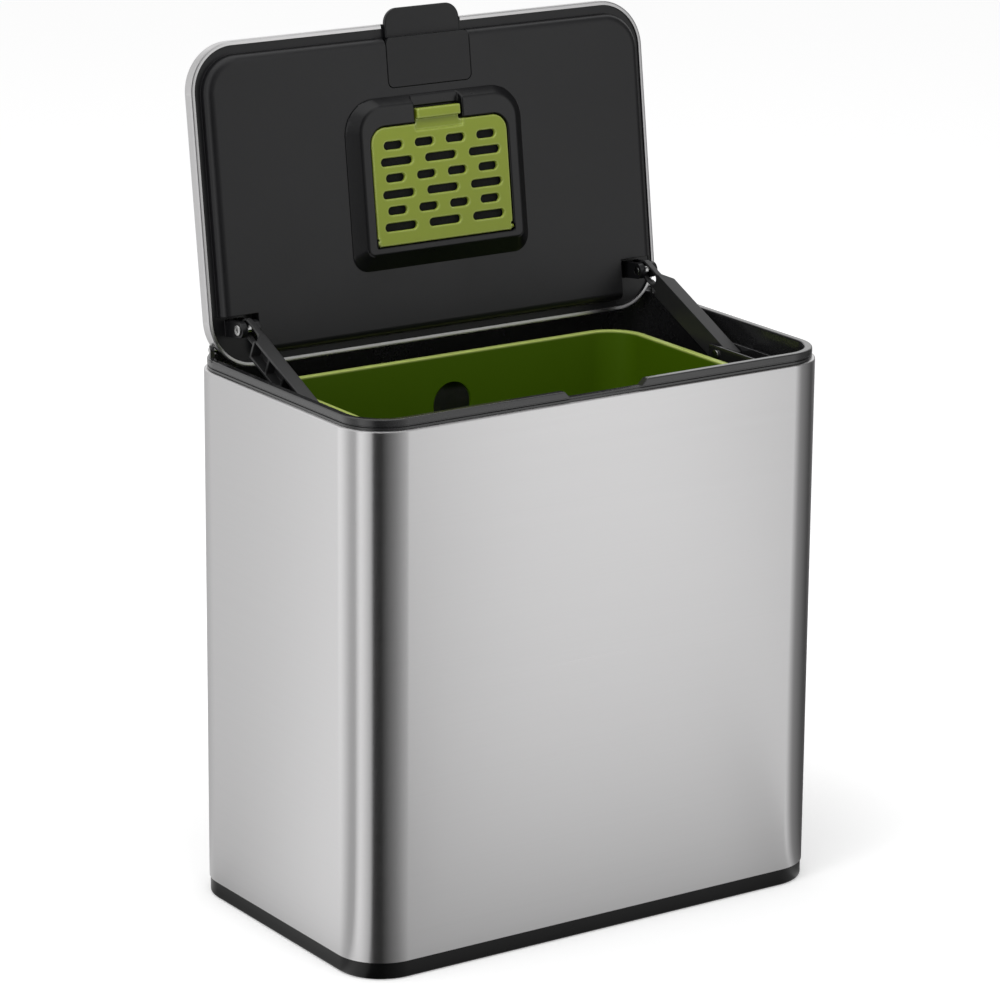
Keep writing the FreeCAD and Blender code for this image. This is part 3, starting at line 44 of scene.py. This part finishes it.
class Tone:
    """A value in a material's node tree. Sums on it add Math nodes to that tree."""

    def __init__(self, tree, socket=None):
        self.tree = tree
        self.socket = socket

    def add(self, kind, settings=None, inputs=None, outlet=0):
        """Adds a node, sets it up, fills or links its sockets and returns one of its outlets."""
        node = self.tree.nodes.new(kind)
        for name, setting in (settings or {}).items():
            if name == "stops":
                ramp = node.color_ramp
                for place, colour in setting[len(ramp.elements):]:
                    ramp.elements.new(place)
                for stop, (place, colour) in zip(ramp.elements, setting):
                    stop.position = place
                    stop.color = colour
            else:
                setattr(node, name, setting)
        for name, item in (inputs or {}).items():
            if isinstance(item, Tone):
                self.tree.links.new(item.socket, node.inputs[name])
            else:
                node.inputs[name].default_value = item
        return Tone(self.tree, node.outputs[outlet] if node.outputs else None)

    def sum(self, operation, first, second):
        return self.add("ShaderNodeMath", {"operation": operation}, {0: first, 1: second})

    def __add__(self, other):
        return self.sum("ADD", self, other)

    def __radd__(self, other):
        return self.sum("ADD", other, self)

    def __sub__(self, other):
        return self.sum("SUBTRACT", self, other)

    def __rsub__(self, other):
        return self.sum("SUBTRACT", other, self)

    def __mul__(self, other):
        return self.sum("MULTIPLY", self, other)

    def __rmul__(self, other):
        return self.sum("MULTIPLY", other, self)

    def __pow__(self, other):
        return self.sum("POWER", self, other)

    def grain(self, scale, detail=3.0, stretch=(1, 1, 1), rough=0.55):
        """Noise over the piece, with a scale in features per metre along each axis."""
        place = self.add("ShaderNodeTexCoord", outlet="Object")
        place = self.add("ShaderNodeMapping", None, {"Vector": place, "Scale": stretch})
        return self.add("ShaderNodeTexNoise", None,
                        {"Vector": place, "Scale": scale, "Detail": detail, "Roughness": rough})

    def blend(self, share, first, second):
        """A colour between two, by a share from 0 to 1."""
        return self.add("ShaderNodeMix", {"data_type": "RGBA"}, {0: share, 6: first, 7: second}, outlet=2)


def new_finish(name):
    """A fresh material with its shader: the material, its first Tone and its Principled node."""
    material = bpy.data.materials.new(name)
    material.use_nodes = True
    tree = material.node_tree
    return material, Tone(tree), tree.nodes["Principled BSDF"]


def feed(tone, shader, **sockets):
    """Links varying tones to the shader, or sets a constant on its own socket."""
    for name, item in sockets.items():
        socket = shader.inputs[name.replace("_", " ")]
        if isinstance(item, Tone):
            tone.tree.links.new(item.socket, socket)
        else:
            socket.default_value = item


def moulded_black(name, dark, pale, dull, grain_depth, coat=0.0, coat_dull=0.03):
    """Black plastic out of a grained mould: cloudy shade, uneven sheen and a fine grain."""
    material, tone, shader = new_finish(name)
    cloud = tone.grain(28, 2)
    fine = tone.grain(1400, 2)
    speck = tone.grain(420, 4)
    feed(tone, shader,
         Base_Color=tone.blend(cloud * 0.6 + speck * 0.4, dark, pale),
         Roughness=dull + cloud * 0.1 + speck * 0.08 - 0.09,
         Normal=tone.add("ShaderNodeBump", None,
                         {"Strength": 0.5, "Distance": grain_depth, "Height": fine}),
         IOR=1.47, Coat_Weight=coat, Coat_Roughness=coat_dull)
    return material


def dress(node, material, edge):
    """Joins a CAD node's facets, breaks its sharp edges and gives it its finish."""
    bpy.ops.object.select_all(action="DESELECT")
    node.select_set(True)
    bpy.context.view_layer.objects.active = node
    bpy.ops.object.shade_smooth()
    weld = node.modifiers.new("joined", "WELD")
    weld.merge_threshold = 1e-6
    if edge:
        flat = node.modifiers.new("whole_faces", "DECIMATE")
        flat.decimate_type = "DISSOLVE"
        flat.angle_limit = math.radians(0.4)
        round_edges = node.modifiers.new("broken_edges", "BEVEL")
        round_edges.width = edge
        round_edges.segments = 2
        round_edges.limit_method = "ANGLE"
        round_edges.angle_limit = math.radians(38)
        round_edges.use_clamp_overlap = False
        round_edges.miter_outer = "MITER_ARC"
    even = node.modifiers.new("even_shade", "WEIGHTED_NORMAL")
    even.weight = 80
    node.data.materials.clear()
    node.data.materials.append(material)


base_black = moulded_black("base_black", (0.0015, 0.0015, 0.0017, 1), (0.003, 0.003, 0.0033, 1),
                           0.30, 0.00004)
dress(nodes["base_tray"], base_black, 0.0004)

# Four anti-slip discs of soft black rubber, glued into round sockets under the base.
# They lie flush with the underside and are never seen when the bin stands.

rubber, tone, shader = new_finish("pad_rubber")
dust = tone.grain(300, 5)
feed(tone, shader,
     Base_Color=tone.blend(dust, (0.012, 0.012, 0.012, 1), (0.030, 0.029, 0.028, 1)),
     Roughness=0.72 + dust * 0.2,
     Normal=tone.add("ShaderNodeBump", None,
                     {"Strength": 0.4, "Distance": 0.0001, "Height": tone.grain(900)}))
dress(nodes["anti_slip_pads"], rubber, 0.0002)

# Body sleeve: stainless sheet rolled to a rounded box, with its top edge turned in under the rim.
# It is brushed level all round, so it mirrors sharply sideways and softly up and down.

SLEEVE = Vector((0.270, 0.162, 0.2594))
SLEEVE_FOOT = 0.0087
SHEET = 0.0008
CORNER, CORNER_STEPS = 0.024, 28
FOLD, FOLD_STEPS, HEM = 0.0009, 4, 0.0011
STEEL = (0.720, 0.714, 0.717, 1)
STEEL_DULL = 0.30


def start_box(name, low, high):
    """A box between two corners, in edit mode, with its place in its mesh."""
    bpy.ops.object.select_all(action="DESELECT")
    bpy.ops.mesh.primitive_cube_add(size=1, location=(Vector(low) + Vector(high)) / 2)
    piece = bpy.context.object
    piece.name = name
    piece.data.name = name
    piece.scale = Vector(high) - Vector(low)
    bpy.ops.object.transform_apply(location=True, rotation=True, scale=True)
    bpy.ops.object.mode_set(mode="EDIT")
    return piece


def pick_edges(piece, chosen):
    """Selects the edges in edit mode whose two ends pass a test."""
    bpy.ops.mesh.select_mode(type="EDGE")
    bpy.ops.mesh.select_all(action="DESELECT")
    net = bmesh.from_edit_mesh(piece.data)
    for edge in net.edges:
        if chosen(edge.verts[0].co, edge.verts[1].co):
            edge.select_set(True)
    bmesh.update_edit_mesh(piece.data)


def pick_faces(piece, chosen):
    """Selects the faces in edit mode whose middle and normal pass a test."""
    bpy.ops.mesh.select_mode(type="FACE")
    bpy.ops.mesh.select_all(action="DESELECT")
    net = bmesh.from_edit_mesh(piece.data)
    for face in net.faces:
        if chosen(face.calc_center_median(), face.normal):
            face.select_set(True)
    bmesh.update_edit_mesh(piece.data)


def near(first, second):
    return abs(first - second) < 1e-6


def apply_modifier(piece, kind, **settings):
    """Adds a modifier to the piece, sets it and applies it."""
    bpy.context.view_layer.objects.active = piece
    modifier = piece.modifiers.new(kind.lower(), kind)
    for name, setting in settings.items():
        setattr(modifier, name, setting)
    bpy.ops.object.modifier_apply(modifier=modifier.name)


def smooth(piece):
    """Smooth shading over the rounded edges, flat over the broad faces."""
    bpy.ops.object.select_all(action="DESELECT")
    piece.select_set(True)
    bpy.context.view_layer.objects.active = piece
    bpy.ops.object.shade_smooth_by_angle(angle=math.radians(35))
    apply_modifier(piece, "WEIGHTED_NORMAL", weight=80, keep_sharp=True)


def brushed_steel(name, stretch, pale, dull):
    """Stainless sheet with brush lines along the directions that the stretch leaves long."""
    material, tone, shader = new_finish(name)
    lines = tone.grain(1.0, 4, stretch, 0.7)
    broad = tone.grain(1.0, 2, [size * 0.16 for size in stretch])
    cloud = tone.grain(9, 2)
    dark = tuple(0.93 * part for part in pale[:3]) + (1,)
    feed(tone, shader,
         Base_Color=tone.blend(lines * 0.6 + broad * 0.4, dark, pale),
         Roughness=dull + lines * 0.08 + broad * 0.05 + cloud * 0.02 - 0.075,
         Normal=tone.add("ShaderNodeBump", None,
                         {"Strength": 0.22, "Distance": 0.00003, "Height": lines}),
         Metallic=1.0, Anisotropic=1.0, Anisotropic_Rotation=0.25)
    return material


top = SLEEVE_FOOT + SLEEVE.z
half = SLEEVE / 2
sleeve = start_box("steel_sleeve", (-half.x, -half.y, SLEEVE_FOOT), (half.x, half.y, top))
pick_edges(sleeve, lambda a, b: abs(a.z - b.z) > 0.1)
bpy.ops.mesh.bevel(offset=CORNER, segments=CORNER_STEPS, affect="EDGES")
pick_edges(sleeve, lambda a, b: near(a.z, top) and near(b.z, top))
bpy.ops.mesh.bevel(offset=FOLD, segments=FOLD_STEPS, affect="EDGES")
pick_faces(sleeve, lambda middle, normal: normal.z > 0.999)
bpy.ops.mesh.inset(thickness=HEM)
bpy.ops.mesh.delete(type="FACE")
pick_faces(sleeve, lambda middle, normal: normal.z < -0.9)
bpy.ops.mesh.delete(type="FACE")
bpy.ops.object.mode_set(mode="OBJECT")
apply_modifier(sleeve, "SOLIDIFY", thickness=SHEET, offset=-1, use_even_offset=True)
smooth(sleeve)
sleeve.data.materials.append(brushed_steel("sleeve_steel", (5, 5, 1500), STEEL, STEEL_DULL))
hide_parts("body_shell")
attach(sleeve, "body")

# Top frame: a satin black moulding that drops into the sleeve, with a grooved rim on top,
# a notch for the finger tab in front and a lug for each lid pin at the back.

frame_black = moulded_black("frame_black", (0.012, 0.012, 0.0125, 1), (0.019, 0.019, 0.020, 1),
                            0.26, 0.00003, coat=0.8, coat_dull=0.2)
dress(nodes["top_frame"], frame_black, 0.00025)

# Arm brackets: moulded black channels, each screwed to the frame's skirt with two small
# pan-head screws, and cross-drilled for the arm's lower pin.

bracket_black = moulded_black("bracket_black", (0.011, 0.011, 0.0115, 1), (0.018, 0.018, 0.019, 1),
                              0.18, 0.00002, coat=0.8)
for side in ("left", "right"):
    dress(nodes[f"{side}_arm_bracket"], bracket_black, 0.0005)

# Bright steel pins, turned and polished: the bracket screws, the arms' lower pins,
# the lid's hinge pins and the hollow rivets that join the arms to the lid.

bright, tone, shader = new_finish("bright_pins")
turning = tone.grain(2600, 2, (1, 0.1, 0.1))
feed(tone, shader,
     Base_Color=tone.blend(turning, (0.52, 0.52, 0.52, 1), (0.72, 0.72, 0.71, 1)),
     Roughness=0.16 + turning * 0.14, Metallic=1.0)
for node in ("bracket_screws", "left_arm_pin", "right_arm_pin", "left_hinge_pin", "right_hinge_pin",
             "left_lid_pin", "right_lid_pin"):
    dress(nodes[node], bright, 0.0002)

# Lift-out bucket: one olive green polypropylene moulding with drafted walls, a thick lip,
# a rounded bottom and a round hole through the back wall for a finger.

RIM_LOW, RIM_HIGH = Vector((-0.1053, -0.070, 0.0032)), Vector((0.1053, 0.056, 0.2603))
LIP, LIP_HEIGHT, DRAFT, WALL = 0.0016, 0.003, 0.007, 0.002
BUCKET_CORNER, BUCKET_FOOT, LIP_EDGE = 0.0185, 0.008, 0.0005
HOLE_PLACE, HOLE_RADIUS = Vector((0, 0.05, 0.235)), 0.011
# Painted highlights: a paler band along the top of the bucket's lip, and paler edges and slot rims on the
# door.
LIP_PAINTED_HIGHLIGHT, LIP_HIGHLIGHT_DEPTH, LIP_HIGHLIGHT_FADE = (0.52, 0.62, 0.16, 1), 0.0014, 0.0012
EDGE_PAINTED_HIGHLIGHT = (0.66, 0.74, 0.32, 1)


def moulded_green(name, dark, pale, dull, painted_highlight_above=None, highlight_edge_radius=0):
    """Olive plastic, coloured through, with flow clouds; optional painted highlights pale the top of its
    lip and its edges.
    """
    material, tone, shader = new_finish(name)
    flow = tone.grain(14, 3, (1, 1, 0.35))
    fine = tone.grain(1200, 2)
    colour = tone.blend(flow, dark, pale)
    # Painted highlight: the colour pales in a band at the top of the lip.
    if painted_highlight_above:
        place = tone.add("ShaderNodeTexCoord", outlet="Object")
        height = tone.add("ShaderNodeSeparateXYZ", None, {0: place}, outlet="Z")
        edge = tone.add("ShaderNodeMapRange", {"interpolation_type": "SMOOTHSTEP"},
                        {"Value": height, "From Min": painted_highlight_above, "From Max": painted_highlight_above + LIP_HIGHLIGHT_FADE})
        colour = tone.blend(edge * 0.9 + flow * edge * 0.1, colour, LIP_PAINTED_HIGHLIGHT)
    # Painted highlight: edges and slot rims pale where the bevelled normal turns away from the true one.
    if highlight_edge_radius:
        turned = tone.add("ShaderNodeBevel", {"samples": 6}, {"Radius": highlight_edge_radius})
        facing = tone.add("ShaderNodeNewGeometry", outlet="Normal")
        edge = 1 - tone.add("ShaderNodeVectorMath", {"operation": "DOT_PRODUCT"},
                            {0: turned, 1: facing}, outlet="Value")
        colour = tone.blend(tone.sum("MINIMUM", edge * 6, 0.9), colour, EDGE_PAINTED_HIGHLIGHT)
    feed(tone, shader,
         Base_Color=colour,
         Roughness=dull + flow * 0.08 + fine * 0.05 - 0.06,
         Normal=tone.add("ShaderNodeBump", None,
                         {"Strength": 0.3, "Distance": 0.00002, "Height": fine}))
    return material


def cut_away(piece, cutter):
    """Cuts the cutter's shape out of the piece and removes the cutter."""
    apply_modifier(piece, "BOOLEAN", operation="DIFFERENCE", solver="EXACT", object=cutter)
    bpy.data.objects.remove(cutter)


lip = Vector((LIP, LIP, 0))
bucket = start_box("green_bucket", RIM_LOW + lip, RIM_HIGH - lip)
size = RIM_HIGH - RIM_LOW - 2 * lip
pick_faces(bucket, lambda middle, normal: normal.z < -0.9)
bpy.ops.transform.resize(value=(1 - 2 * DRAFT / size.x, 1 - 2 * DRAFT / size.y, 1))
pick_edges(bucket, lambda a, b: abs(a.z - b.z) > 0.1)
bpy.ops.mesh.bevel(offset=BUCKET_CORNER, segments=16, affect="EDGES")
foot = RIM_LOW.z
pick_edges(bucket, lambda a, b: near(a.z, foot) and near(b.z, foot))
bpy.ops.mesh.bevel(offset=BUCKET_FOOT, segments=8, affect="EDGES")
pick_faces(bucket, lambda middle, normal: normal.z > 0.9)
bpy.ops.mesh.delete(type="FACE")
bpy.ops.mesh.select_all(action="SELECT")
bpy.ops.mesh.bisect(plane_co=(0, 0, RIM_HIGH.z - LIP_HEIGHT), plane_no=(0, 0, 1))
bpy.ops.object.mode_set(mode="OBJECT")
apply_modifier(bucket, "SOLIDIFY", thickness=WALL, offset=-1, use_even_offset=True)
bpy.ops.object.mode_set(mode="EDIT")
middle_y = (RIM_LOW.y + RIM_HIGH.y) / 2
pick_faces(bucket, lambda middle, normal: middle.z > RIM_HIGH.z - LIP_HEIGHT and abs(normal.z) < 0.5
           and normal.x * middle.x + normal.y * (middle.y - middle_y) > 0)
bpy.ops.mesh.extrude_region_shrink_fatten(TRANSFORM_OT_shrink_fatten={"value": LIP - 0.0001})
bpy.ops.object.mode_set(mode="OBJECT")
bpy.ops.mesh.primitive_cylinder_add(vertices=64, radius=HOLE_RADIUS, depth=0.03,
                                    location=HOLE_PLACE, rotation=(math.pi / 2, 0, 0))
cut_away(bucket, bpy.context.object)
apply_modifier(bucket, "BEVEL", width=LIP_EDGE, segments=3, limit_method="ANGLE",
               angle_limit=math.radians(50), use_clamp_overlap=False)
smooth(bucket)
# Its green is set darker than the door's olive; part of that is painted shade for the bucket's deep
# inside.
# Its lip gets a painted highlight: a paler band along its top.
bucket.data.materials.append(
    moulded_green("bucket_green", (0.060, 0.124, 0.0008, 1), (0.072, 0.142, 0.0014, 1), 0.30,
                  RIM_HIGH.z - LIP_HIGHLIGHT_DEPTH))
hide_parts("bucket")
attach(bucket, "bucket")

# Lid pan: stainless sheet drawn to a shallow tray with a rounded outer edge and a folded hem,
# cut away for the finger tab in front and drilled at both sides for the hinge pins.

HINGE = Vector((0, 0.0655, 0.2769))
LID_TURN = math.radians(-97.6)
PAN_LOW, PAN_HIGH = Vector((-0.1315, -0.0807, 0.274)), Vector((0.1315, 0.076, 0.282))
PAN_EDGE = 0.003
TAB_GAP_LOW, TAB_GAP_HIGH = (-0.023, -0.083, 0.2735), (0.023, -0.0767, 0.27505)
PIN_HOLE = 0.00175


def swing_open(piece):
    """Turns a piece that was drawn on the shut lid up to the open lid, and leaves it unturned."""
    bpy.ops.object.select_all(action="DESELECT")
    piece.select_set(True)
    bpy.context.view_layer.objects.active = piece
    turn = Matrix.Rotation(LID_TURN, 4, "X")
    piece.matrix_world = Matrix.Translation(HINGE) @ turn @ Matrix.Translation(-HINGE)
    bpy.ops.object.transform_apply(location=True, rotation=True, scale=True)


pan = start_box("lid_pan", PAN_LOW, PAN_HIGH)
pick_edges(pan, lambda a, b: abs(a.z - b.z) > 0.005)
bpy.ops.mesh.bevel(offset=CORNER, segments=CORNER_STEPS, affect="EDGES")
pick_edges(pan, lambda a, b: near(a.z, PAN_HIGH.z) and near(b.z, PAN_HIGH.z))
bpy.ops.mesh.bevel(offset=PAN_EDGE, segments=8, affect="EDGES")
pick_edges(pan, lambda a, b: near(a.z, PAN_LOW.z) and near(b.z, PAN_LOW.z))
bpy.ops.mesh.bevel(offset=FOLD, segments=FOLD_STEPS, affect="EDGES")
pick_faces(pan, lambda middle, normal: normal.z < -0.999)
bpy.ops.mesh.inset(thickness=HEM)
bpy.ops.mesh.delete(type="FACE")
bpy.ops.object.mode_set(mode="OBJECT")
apply_modifier(pan, "SOLIDIFY", thickness=SHEET, offset=-1, use_even_offset=True)
tab_gap = start_box("tab_gap", TAB_GAP_LOW, TAB_GAP_HIGH)
bpy.ops.object.mode_set(mode="OBJECT")
cut_away(pan, tab_gap)
bpy.ops.mesh.primitive_cylinder_add(vertices=32, radius=PIN_HOLE, depth=0.28,
                                    location=HINGE, rotation=(0, math.pi / 2, 0))
cut_away(pan, bpy.context.object)
smooth(pan)
swing_open(pan)
pan.data.materials.append(brushed_steel("lid_steel", (5, 1500, 1500), STEEL, STEEL_DULL))
# The brushing runs straight across the lid, so the centre of its texture space lies far behind it.
pan.data.use_auto_texspace = False
pan.data.texspace_location = (0, 5, 0.35)
pan.data.texspace_size = (1, 1, 1)
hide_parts("lid_shell")
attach(pan, "lid")

# Lid liner: a black moulded plug panel snapped into the pan's hem, with recesses and ears
# for the arms and a well behind the filter door.

liner_black = moulded_black("liner_black", (0.005, 0.005, 0.0058, 1), (0.010, 0.010, 0.0112, 1),
                            0.34, 0.00004)
dress(nodes["lid_liner"], liner_black, 0.0003)

# Finger tab: a smooth black moulding with its inlaid plate, set into the liner's front edge
# and standing out past the lid.

tab_black = moulded_black("tab_black", (0.004, 0.004, 0.0048, 1), (0.008, 0.008, 0.009, 1),
                          0.36, 0.00002)
dress(nodes["lid_handle"], tab_black, 0.0002)

# Filter housing: a raised black frame with sloping sides, welded to the liner round its well.
# The door's stubs turn in it at one edge, and the door's latch meets it at the other.

housing_black = moulded_black("housing_black", (0.004, 0.004, 0.0046, 1), (0.008, 0.008, 0.009, 1),
                              0.30, 0.00003)
dress(nodes["filter_housing"], housing_black, 0.0009)

# Carbon filter: a felted pad of activated carbon that lies loose in the well.
# It shows only through the door's slots, or when the door is open.

felt, tone, shader = new_finish("carbon_felt")
fibre = tone.grain(700, 6, (1, 0.4, 1))
feed(tone, shader,
     Base_Color=tone.blend(fibre, (0.004, 0.004, 0.004, 1), (0.022, 0.022, 0.023, 1)),
     Roughness=0.8 + fibre * 0.2,
     Normal=tone.add("ShaderNodeBump", None, {"Strength": 0.8, "Distance": 0.0006, "Height": fibre}))
dress(nodes["carbon_filter"], felt, 0)

# Filter door: olive green moulding with rows of air slots, a finger latch in front
# and two stubs at the back that snap into the housing.

# Its edges and slot rims get a painted highlight.
door_green = moulded_green("door_green", (0.250, 0.315, 0.016, 1), (0.280, 0.350, 0.021, 1), 0.30,
                           highlight_edge_radius=0.0014)
dress(nodes["filter_cover"], door_green, 0.0006)

# Arms: black glass-filled channels with cross ribs, turning on the bracket pins below
# and slotted over the lid's rivets above.

arm_black = moulded_black("arm_black", (0.018, 0.018, 0.0185, 1), (0.030, 0.030, 0.031, 1),
                          0.33, 0.00005)
for side in ("left", "right"):
    dress(nodes[f"{side}_arm"], arm_black, 0.0004)

# Studio: a pale floor under a white surround, with one broad soft lamp above and one to the left.
# The floor glows a little to the eye and in reflections, and less so close to the bin, as a painted shadow
# round its foot.

FLOOR_GLOW, SHADOW_FULL_RADIUS, SHADOW_END_RADIUS = 0.54, 0.14, 0.34
AMBIENT = 0.45

bpy.ops.object.select_all(action="DESELECT")
bpy.ops.mesh.primitive_plane_add(size=12, location=(0, 0, -0.0002))
floor = bpy.context.object
floor.name = "studio_floor"
paper = bpy.data.materials.new("floor_paper")
paper.use_nodes = True
tone = Tone(paper.node_tree)
tone.tree.nodes.clear()
seen = tone.add("ShaderNodeLightPath", outlet="Is Camera Ray")
mirrored = tone.add("ShaderNodeLightPath", outlet="Is Glossy Ray")
through = tone.add("ShaderNodeLightPath", outlet="Is Transmission Ray")
matt = tone.add("ShaderNodeBsdfDiffuse", None, {"Color": (0.86, 0.86, 0.86, 1)})
# Painted shadow: the glow's colour dims from far out to close round the bin.
place = tone.add("ShaderNodeTexCoord", outlet="Object")
distance = tone.add("ShaderNodeVectorMath", {"operation": "LENGTH"}, {0: place}, outlet="Value")
far = tone.add("ShaderNodeMapRange", {"interpolation_type": "SMOOTHSTEP"},
               {"Value": distance, "From Min": SHADOW_FULL_RADIUS, "From Max": SHADOW_END_RADIUS})
pale = tone.blend(far, (0.70, 0.70, 0.70, 1), (1.02, 1.02, 1.02, 1))
glow = tone.add("ShaderNodeEmission", None,
                {"Color": pale, "Strength": (seen + mirrored + through) * FLOOR_GLOW})
both = tone.add("ShaderNodeAddShader", None, {0: matt, 1: glow})
tone.add("ShaderNodeOutputMaterial", None, {"Surface": both})
floor.data.materials.append(paper)

scene = bpy.context.scene
scene.view_settings.view_transform = "Standard"
world = bpy.data.worlds.new("white_surround")
world.use_nodes = True
scene.world = world
tone = Tone(world.node_tree)
tone.tree.nodes.clear()
seen = tone.add("ShaderNodeLightPath", outlet="Is Camera Ray")
mirrored = tone.add("ShaderNodeLightPath", outlet="Is Glossy Ray")
through = tone.add("ShaderNodeLightPath", outlet="Is Transmission Ray")
sky = tone.add("ShaderNodeBackground", None,
               {"Color": (1, 1, 1, 1), "Strength": AMBIENT + (1 - AMBIENT) * (seen + mirrored + through)})
tone.add("ShaderNodeOutputWorld", None, {"Surface": sky})


def lamp(name, place, aim, width, height, power):
    """A soft rectangular lamp that points at a place."""
    data = bpy.data.lights.new(name, "AREA")
    data.shape = "RECTANGLE"
    data.size = width
    data.size_y = height
    data.energy = power
    item = bpy.data.objects.new(name, data)
    scene.collection.objects.link(item)
    item.location = place
    item.rotation_euler = (Vector(aim) - Vector(place)).to_track_quat("-Z", "Y").to_euler()
    item.visible_glossy = False


lamp("overhead_lamp", (-0.3, -0.3, 1.6), (0, 0, 0.2), 1.2, 1.2, 11)
lamp("left_lamp", (-1.6, -0.5, 0.9), (0, 0, 0.2), 0.5, 1.4, 6)

# Light tent: a white cloth drum with a black flag and grey cards, which only reflections show.
# Its shade goes by the bearing from the face or corner of the bin that looks at it.

TENT = ((-180, 0.6), (-170, 0.9), (-144, 0.4), (-141, 0.02), (-122, 0.02), (-90, 0.2), (-60, 0.45),
        (-54, 0.9), (-50, 0.75), (-35, 0.3), (0, 0.1), (50, 0.4), (118, 1.0), (140, 0.8), (165, 0.4))
TENT_RADIUS, TENT_HEIGHT, TENT_FOOT = 1.2, 2.4, 0.0004
FRONT_SLANT, SIDE_SLANT = 0.74, 1.482
BACK_GLOW = 1.5


def hold(value, reach):
    """Keeps a tone between plus and minus a reach."""
    return value.sum("MINIMUM", value.sum("MAXIMUM", value, -reach), reach)


cloth = bpy.data.materials.new("tent_cloth")
cloth.use_nodes = True
tone = Tone(cloth.node_tree)
tone.tree.nodes.clear()
place = tone.add("ShaderNodeTexCoord", outlet="Object")
across = tone.add("ShaderNodeSeparateXYZ", None, {0: place}, outlet="X")
along = tone.add("ShaderNodeSeparateXYZ", None, {0: place}, outlet="Y")
up = tone.add("ShaderNodeSeparateXYZ", None, {0: place}, outlet="Z")
from_x = hold(across - tone.sum("MAXIMUM", -1 * along - half.y, 0.0) * FRONT_SLANT, half.x - CORNER)
from_y = hold(along - tone.sum("MAXIMUM", -1 * across - half.x, 0.0) * SIDE_SLANT, half.y - CORNER)
bearing = tone.sum("ARCTAN2", along - from_y, across - from_x) * (0.5 / math.pi) + 0.5
shade = tone.add("ShaderNodeValToRGB",
                 {"stops": [((turn + 180) / 360, (grey, grey, grey, 1)) for turn, grey in TENT]},
                 {0: bearing})
away = tone.add("ShaderNodeMapRange", {"interpolation_type": "SMOOTHSTEP"},
                {"Value": (across * across + along * along) ** 0.5, "From Min": 0.15, "From Max": 1.1,
                 "To Min": 1.1, "To Max": 1.28}) * (0.8 - from_y * 3.5)
away = away * tone.add("ShaderNodeMapRange", {"interpolation_type": "SMOOTHSTEP"},
                       {"Value": from_x, "From Min": 0.07, "From Max": half.x - CORNER,
                        "To Min": 1.0, "To Max": 0.84})
high = tone.add("ShaderNodeMapRange", {"interpolation_type": "SMOOTHSTEP"},
                {"Value": up, "From Min": 0.22, "From Max": 0.6})
behind = tone.add("ShaderNodeMapRange", {"interpolation_type": "SMOOTHSTEP"},
                  {"Value": across * 0.56 + along * 0.83, "From Min": 0.75, "From Max": 1.05})
shade = tone.blend(high * behind, shade, (BACK_GLOW, BACK_GLOW, BACK_GLOW, 1))
tone.add("ShaderNodeOutputMaterial", None,
         {"Surface": tone.add("ShaderNodeEmission", None, {"Color": shade, "Strength": away})})
bpy.ops.object.select_all(action="DESELECT")
bpy.ops.mesh.primitive_cylinder_add(vertices=96, radius=TENT_RADIUS, depth=TENT_HEIGHT,
                                    location=(0, 0, TENT_HEIGHT / 2 + TENT_FOOT), end_fill_type="NOTHING")
bpy.ops.object.transform_apply(location=True)
tent_wall = bpy.context.object
tent_wall.name = "tent_wall"
bpy.ops.mesh.primitive_circle_add(vertices=96, radius=TENT_RADIUS, fill_type="NGON",
                                  location=(0, 0, TENT_FOOT))
tent_floor = bpy.context.object
tent_floor.name = "tent_floor"
for part in (tent_wall, tent_floor):
    part.data.materials.append(cloth)
    part.visible_camera = False
    part.visible_diffuse = False
    part.visible_transmission = False
    part.visible_shadow = False

# Camera at the photograph's angle: slightly above the bin, in front of its left corner.
# Its place and lens were fitted to the edges of the body, base and rim.

EYE = (-1.1676, -1.7161, 0.7975)
LENS, SENSOR = 159.25, 36
DOWN, ASIDE, ROLL = math.radians(16.11), math.radians(-34.09), math.radians(0.46)
camera_data = bpy.data.cameras.new("photo_camera")
camera_data.lens = LENS
camera_data.sensor_width = SENSOR
camera = bpy.data.objects.new("photo_camera", camera_data)
scene.collection.objects.link(camera)
look = Euler((math.pi / 2 - DOWN, 0, ASIDE)).to_matrix() @ Matrix.Rotation(ROLL, 3, "Z")
camera.matrix_world = Matrix.Translation(EYE) @ look.to_4x4()
scene.camera = camera
